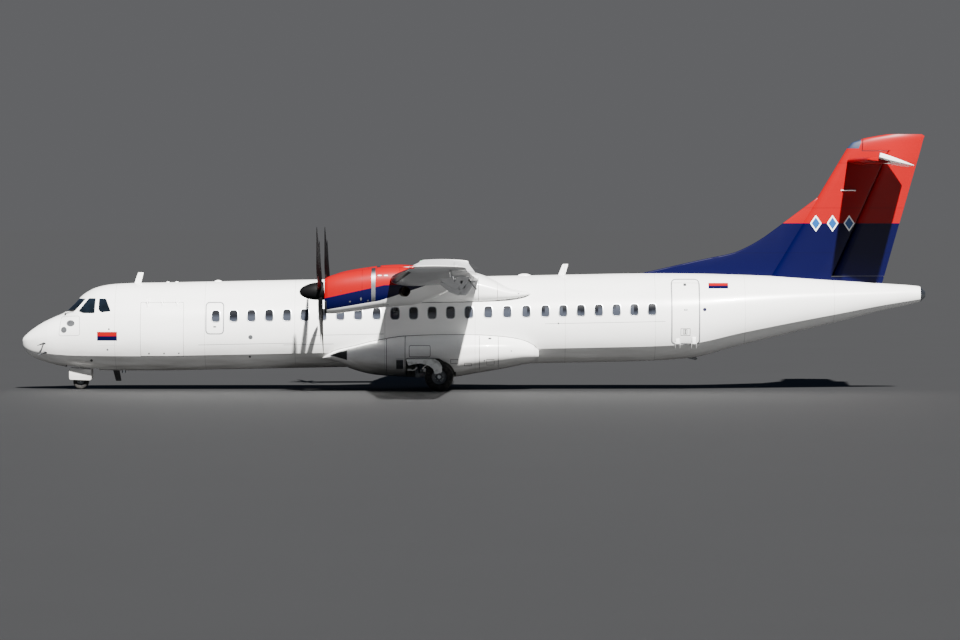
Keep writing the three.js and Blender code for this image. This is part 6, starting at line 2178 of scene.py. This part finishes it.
def fairing_edge(table, place, span, side, upward):
    """A bead along the crease where a fairing's rim meets the fuselage, black with painted shade."""
    route = []
    for x in np.linspace(*span, 90):
        _, a, b, _ = table_at(table, x)
        ends = sorted(((a + b) / 2, max(a, b) if upward else min(a, b)), reverse=not upward)
        for z in np.linspace(*ends, 120):
            if abs(place(x, z, side)[1]) < skin_width(x, z):
                route.append(on_skin(x, z, side, 1))
                break
    return hose(route, CREASE_BEAD, 6, DARK)


# The beads along the fairings' rims, black with painted shade: table, placing function, x from and to,
# whether the rim is the upper one
FAIRING_EDGES = [
    (WING_FAIRING, on_wing_fairing, (10300, 15250), False),
    (GEAR_FAIRING, on_gear_fairing, (9300, 15450), True),
]
# Long seams of the skin plates: x from and to, z
LONG_SEAMS = [(5360, 8190, 1352), (8810, 10900, 1641), (15700, 19300, 1984), (7900, 9400, 1352)]
HORN_PANEL = [(24700, 7232), (25150, 7230), (25225, 7420), (25228, 7600), (24900, 7600)]
FIN_AERIAL, FIN_AERIAL_Z = [(24550, 90), (25070, 90), (25040, 255), (24740, 255)], (5955, 5985)
FIN_COVER_PROUD = 1.5  # how far thin covers stand off the fin
FOOT_SEAL = [(24330, 3345), (25900, 3345), (25900, 3392), (24980, 3392), (24560, 3370), (24330, 3368)]
# The fin's border: a row of plain lozenges at the colour line, x of each
LOZENGES, LOZENGE_HALF, LOZENGE_TALL, LOZENGE_FRAME = (23860, 24360, 24860), 170, 250, 46


def on_fin(outline, proud):
    """A thin cover over both sides of the fin, within an outline."""
    return kept_in(fin_loft(proud), prism(outline, -TAIL_REACH_SIDE, TAIL_REACH_SIDE))


class AIRLINER_OT_tail_details(bpy.types.Operator):
    """Lozenges of the fin's border, its aerials, panel and foot seal, and seams along the body"""

    bl_idname = "airliner.tail_details"
    bl_label = "Tail details"

    def execute(self, context):
        def lozenge(x, shrink=0):
            w, h = LOZENGE_HALF - shrink, LOZENGE_TALL - shrink * LOZENGE_TALL / LOZENGE_HALF
            return [(x - w, COLOUR_LINE), (x, COLOUR_LINE - h), (x + w, COLOUR_LINE), (x, COLOUR_LINE + h)]

        frames = [on_fin(lozenge(x), FIN_COVER_PROUD) for x in LOZENGES]
        centres = [painted(on_fin(lozenge(x, LOZENGE_FRAME), 2 * FIN_COVER_PROUD), 1) for x in LOZENGES]
        finishes = ["white_polyurethane_sprayed", "light_blue_polyurethane"]
        piece("fin_border", joined(*frames, *centres), finishes)
        panel = painted(on_fin(HORN_PANEL, FIN_COVER_PROUD), 1)
        finishes = ["blue_polyurethane_sprayed", "steel_blue_boot"]
        piece("fin_panels", joined(on_fin(FOOT_SEAL, 0), panel), finishes)
        aerial = cushion(FIN_AERIAL, *FIN_AERIAL_Z, 10, "z")
        parts = [mirrored(aerial, side) for side in (-1, 1)]
        for side in (-1, 1):
            for x0, x1, z in LONG_SEAMS:
                parts.append(strip(x0, z, x1, z + GROUND_SLOPE * (x1 - x0), mm(sizes().seam), side, GREY))
            parts += [fairing_edge(table, place, span, side, up) for table, place, span, up in FAIRING_EDGES]
        fittings("aerials_and_seams", parts)
        return {"FINISHED"}


# Marks on a nacelle's outer side: x, z, half width, half height, finish, height above the skin
NACELLE_MARKS = [
    (10835, 3455, 60, 14, COAT, 2), (11020, 3455, 60, 14, COAT, 2), (10287, 2766, 26, 48, METAL, 12),
    (9966, 2690, 26, 26, METAL, 8), (10492, 2716, 26, 26, METAL, 8), (9700, 3000, 16, 16, DARK, 2),
]
WING_LIGHT, WING_LIGHT_SIZE = (11880, 13470, 3752), (80, 45, 34)
DISCHARGERS = (10400, 11300, 12200, 13000)  # y of each
DISCHARGER_ROOT, DISCHARGER_LENGTH, DISCHARGER_DROP = 20, 210, 25
DRAIN_TUBE = ((13440, 8900, 3385), (13676, 8900, 3095), 24)
LEAST_RING = 0.02  # keeps a ball's end rings from closing to a point


def ball(middle, size, paint, steps=12):
    """A smooth lens or cap, squashed to a size."""
    rings = []
    for angle in np.linspace(-math.pi / 2, math.pi / 2, steps):
        share = max(math.cos(angle), LEAST_RING)
        ring = oval(0, 0, size[0] * share, size[2] * share, steps=24)
        rings.append(at_depth(ring, size[1] * math.sin(angle), "y") + middle)
    return loft(rings, paint)


class AIRLINER_OT_wing_details(bpy.types.Operator):
    """Tip lights, dischargers, drain tubes and the marks on the nacelles"""

    bl_idname = "airliner.wing_details"
    bl_label = "Wing and nacelle details"

    def execute(self, context):
        start, end, radius = DRAIN_TUBE
        tube = bar(start, end, radius, sides=12, edge=3, paint=DARK)
        parts = []
        for side, label in SIDES:
            lens = RED_LENS if side < 0 else GREEN_LENS
            parts.append(mirrored(ball(WING_LIGHT, WING_LIGHT_SIZE, lens), side))
            parts += plates_on(NACELLE_MARKS, side, rounded_place(NACELLE, NACELLE_POWER, side * ENGINE_Y))
            rods = []
            for y in DISCHARGERS:
                x, _, z = place_wing(station_at(WING, y), 1, 0)
                end = (x + DISCHARGER_LENGTH, y, z - DISCHARGER_DROP)
                rods.append(bar((x - DISCHARGER_ROOT, y, z), end, 6, 3, 8, paint=DARK))
            fittings(f"aileron_{label}_dischargers", [mirrored(joined(*rods), side)], f"aileron_{label}")
            fittings(f"flap_outer_{label}_drain", [mirrored(tube, side)], f"flap_outer_{label}")
        fittings("wing_fittings", parts)
        return {"FINISHED"}


BRAKE_FROM, BRAKE_TO, BRAKE_RADIUS = 56, 104, 165
PIPE_RADIUS = 12  # hoses from this radius on are painted pipes
# Hoses of the main gear, x and z from the axle, y from the wheels' middle, then the radius
GEAR_HOSES = [
    ([(-60, 68, 90), (-150, 57, 130), (-330, 56, 230), (-470, 40, 330), (-560, -60, 420)], 8),
    ([(-40, -68, 90), (-150, -57, 125), (-320, -56, 200), (-460, -60, 300), (-560, -140, 430)], 8),
    ([(-880, 180, 200), (-800, 190, 190), (-720, 200, 215), (-660, 205, 280)], 18),
    ([(-500, 230, 230), (-440, 240, 300), (-380, 235, 340)], 16),
]
BAY_BRACKETS = [(-880, 150, 205, 60, 34, 30), (-430, 200, 200, 34, 30, 52)]
NOSE_HOSE, NOSE_HOSE_RADIUS = [(44, 22, 474), (92, 32, 440), (120, 32, 380), (96, 28, 310), (50, 20, 262)], 7
TAXI_LIGHT = (-95, 700, 62)  # x from the nose wheels, z, radius
LAMP_DEPTH, LENS_DEPTH, LENS_EDGE, LENS_DOME = 40, 12, 6, 10
BRAKE_DISC, BRAKE_EDGE = 4, 6


class AIRLINER_OT_gear_details(bpy.types.Operator):
    """Brakes, hoses and brackets of the landing gear, and its lights"""

    bl_idname = "airliner.gear_details"
    bl_label = "Gear details"

    def execute(self, context):
        hub = np.array((MAIN_X, MAIN_TRACK, MAIN_AXLE_Z))
        parts = []
        for way in (-1, 1):
            near, far = hub + (0, way * BRAKE_FROM, 0), hub + (0, way * BRAKE_TO, 0)
            parts.append(bar(near, far, BRAKE_RADIUS, BRAKE_RADIUS - 2 * BRAKE_EDGE, 48, BRAKE_EDGE, DARK))
            disc = near - (0, way * BRAKE_DISC, 0)
            parts.append(bar(disc, near, BRAKE_RADIUS - 5 * BRAKE_EDGE, sides=48, paint=METAL))
        for route, radius in GEAR_HOSES:
            paint = DARK if radius < PIPE_RADIUS else COAT
            parts.append(hose(curve_through(hub + np.array(route)), radius, 12, paint))
        for x, y, z, half_length, half_width, half_height in BAY_BRACKETS:
            cx, cy, cz = hub + (x, y, z)
            outline = rectangle(cx - half_length, cx + half_length, cz - half_height, cz + half_height)
            parts.append(cushion(outline, cy - half_width, cy + half_width, 8))
        gear = joined(*parts)
        for side, label in SIDES:
            fittings(f"main_gear_{label}_brakes_and_hoses", [mirrored(gear, side)])
        ahead, z, radius = TAXI_LIGHT
        x = NOSE_WHEEL_X + ahead
        lamp = bar((x + LAMP_DEPTH, 0, z), (x, 0, z), 0.6 * radius, radius, 32, 6, METAL)
        rim = radius - LENS_EDGE
        lens = bar((x, 0, z), (x - LENS_DEPTH, 0, z), rim, rim - LENS_DOME, 32, 3, CLEAR)
        fittings("nose_gear_lamp", [lamp, lens])
        pipe = hose(curve_through(np.array(NOSE_HOSE) + (NOSE_WHEEL_X, 0, 0)), NOSE_HOSE_RADIUS, 10, DARK)
        fittings("nose_fork_hose", [pipe], "nose_fork")
        return {"FINISHED"}


# Panel and registration

STEPS = (
    AIRLINER_OT_stage,
    AIRLINER_OT_fuselage,
    AIRLINER_OT_cockpit_windows,
    AIRLINER_OT_cabin_windows,
    AIRLINER_OT_doors,
    AIRLINER_OT_wings,
    AIRLINER_OT_wing_surfaces,
    AIRLINER_OT_fairings,
    AIRLINER_OT_fin,
    AIRLINER_OT_tailplane,
    AIRLINER_OT_nacelles,
    AIRLINER_OT_propellers,
    AIRLINER_OT_main_gear,
    AIRLINER_OT_nose_gear,
    AIRLINER_OT_markings,
    AIRLINER_OT_nose_fittings,
    AIRLINER_OT_aerials,
    AIRLINER_OT_door_fittings,
    AIRLINER_OT_fairing_details,
    AIRLINER_OT_tail_details,
    AIRLINER_OT_wing_details,
    AIRLINER_OT_gear_details,
)


class AIRLINER_PT_build(bpy.types.Panel):
    """Colours, sizes and the steps that build the airliner"""

    bl_idname = "AIRLINER_PT_build"
    bl_label = "Airliner"
    bl_space_type = "VIEW_3D"
    bl_region_type = "UI"
    bl_category = "Airliner"

    def draw(self, context):
        for group in (paints(), sizes()):
            column = self.layout.column()
            for name in group.bl_rna.properties.keys():
                if name not in ("rna_type", "name"):
                    column.prop(group, name)
        for step in STEPS:
            self.layout.operator(step.bl_idname)


CLASSES = (AirlinerPaints, AirlinerSizes, *STEPS, AIRLINER_PT_build)


def register():
    for cls in CLASSES:
        bpy.utils.register_class(cls)
    bpy.types.Scene.airliner_paints = PointerProperty(type=AirlinerPaints)
    bpy.types.Scene.airliner_sizes = PointerProperty(type=AirlinerSizes)


def unregister():
    del bpy.types.Scene.airliner_sizes
    del bpy.types.Scene.airliner_paints
    for cls in reversed(CLASSES):
        bpy.utils.unregister_class(cls)


def main():
    register()
    for step in STEPS:
        getattr(bpy.ops.airliner, step.bl_idname.split(".")[1])()


if __name__ == "__main__":
    main()
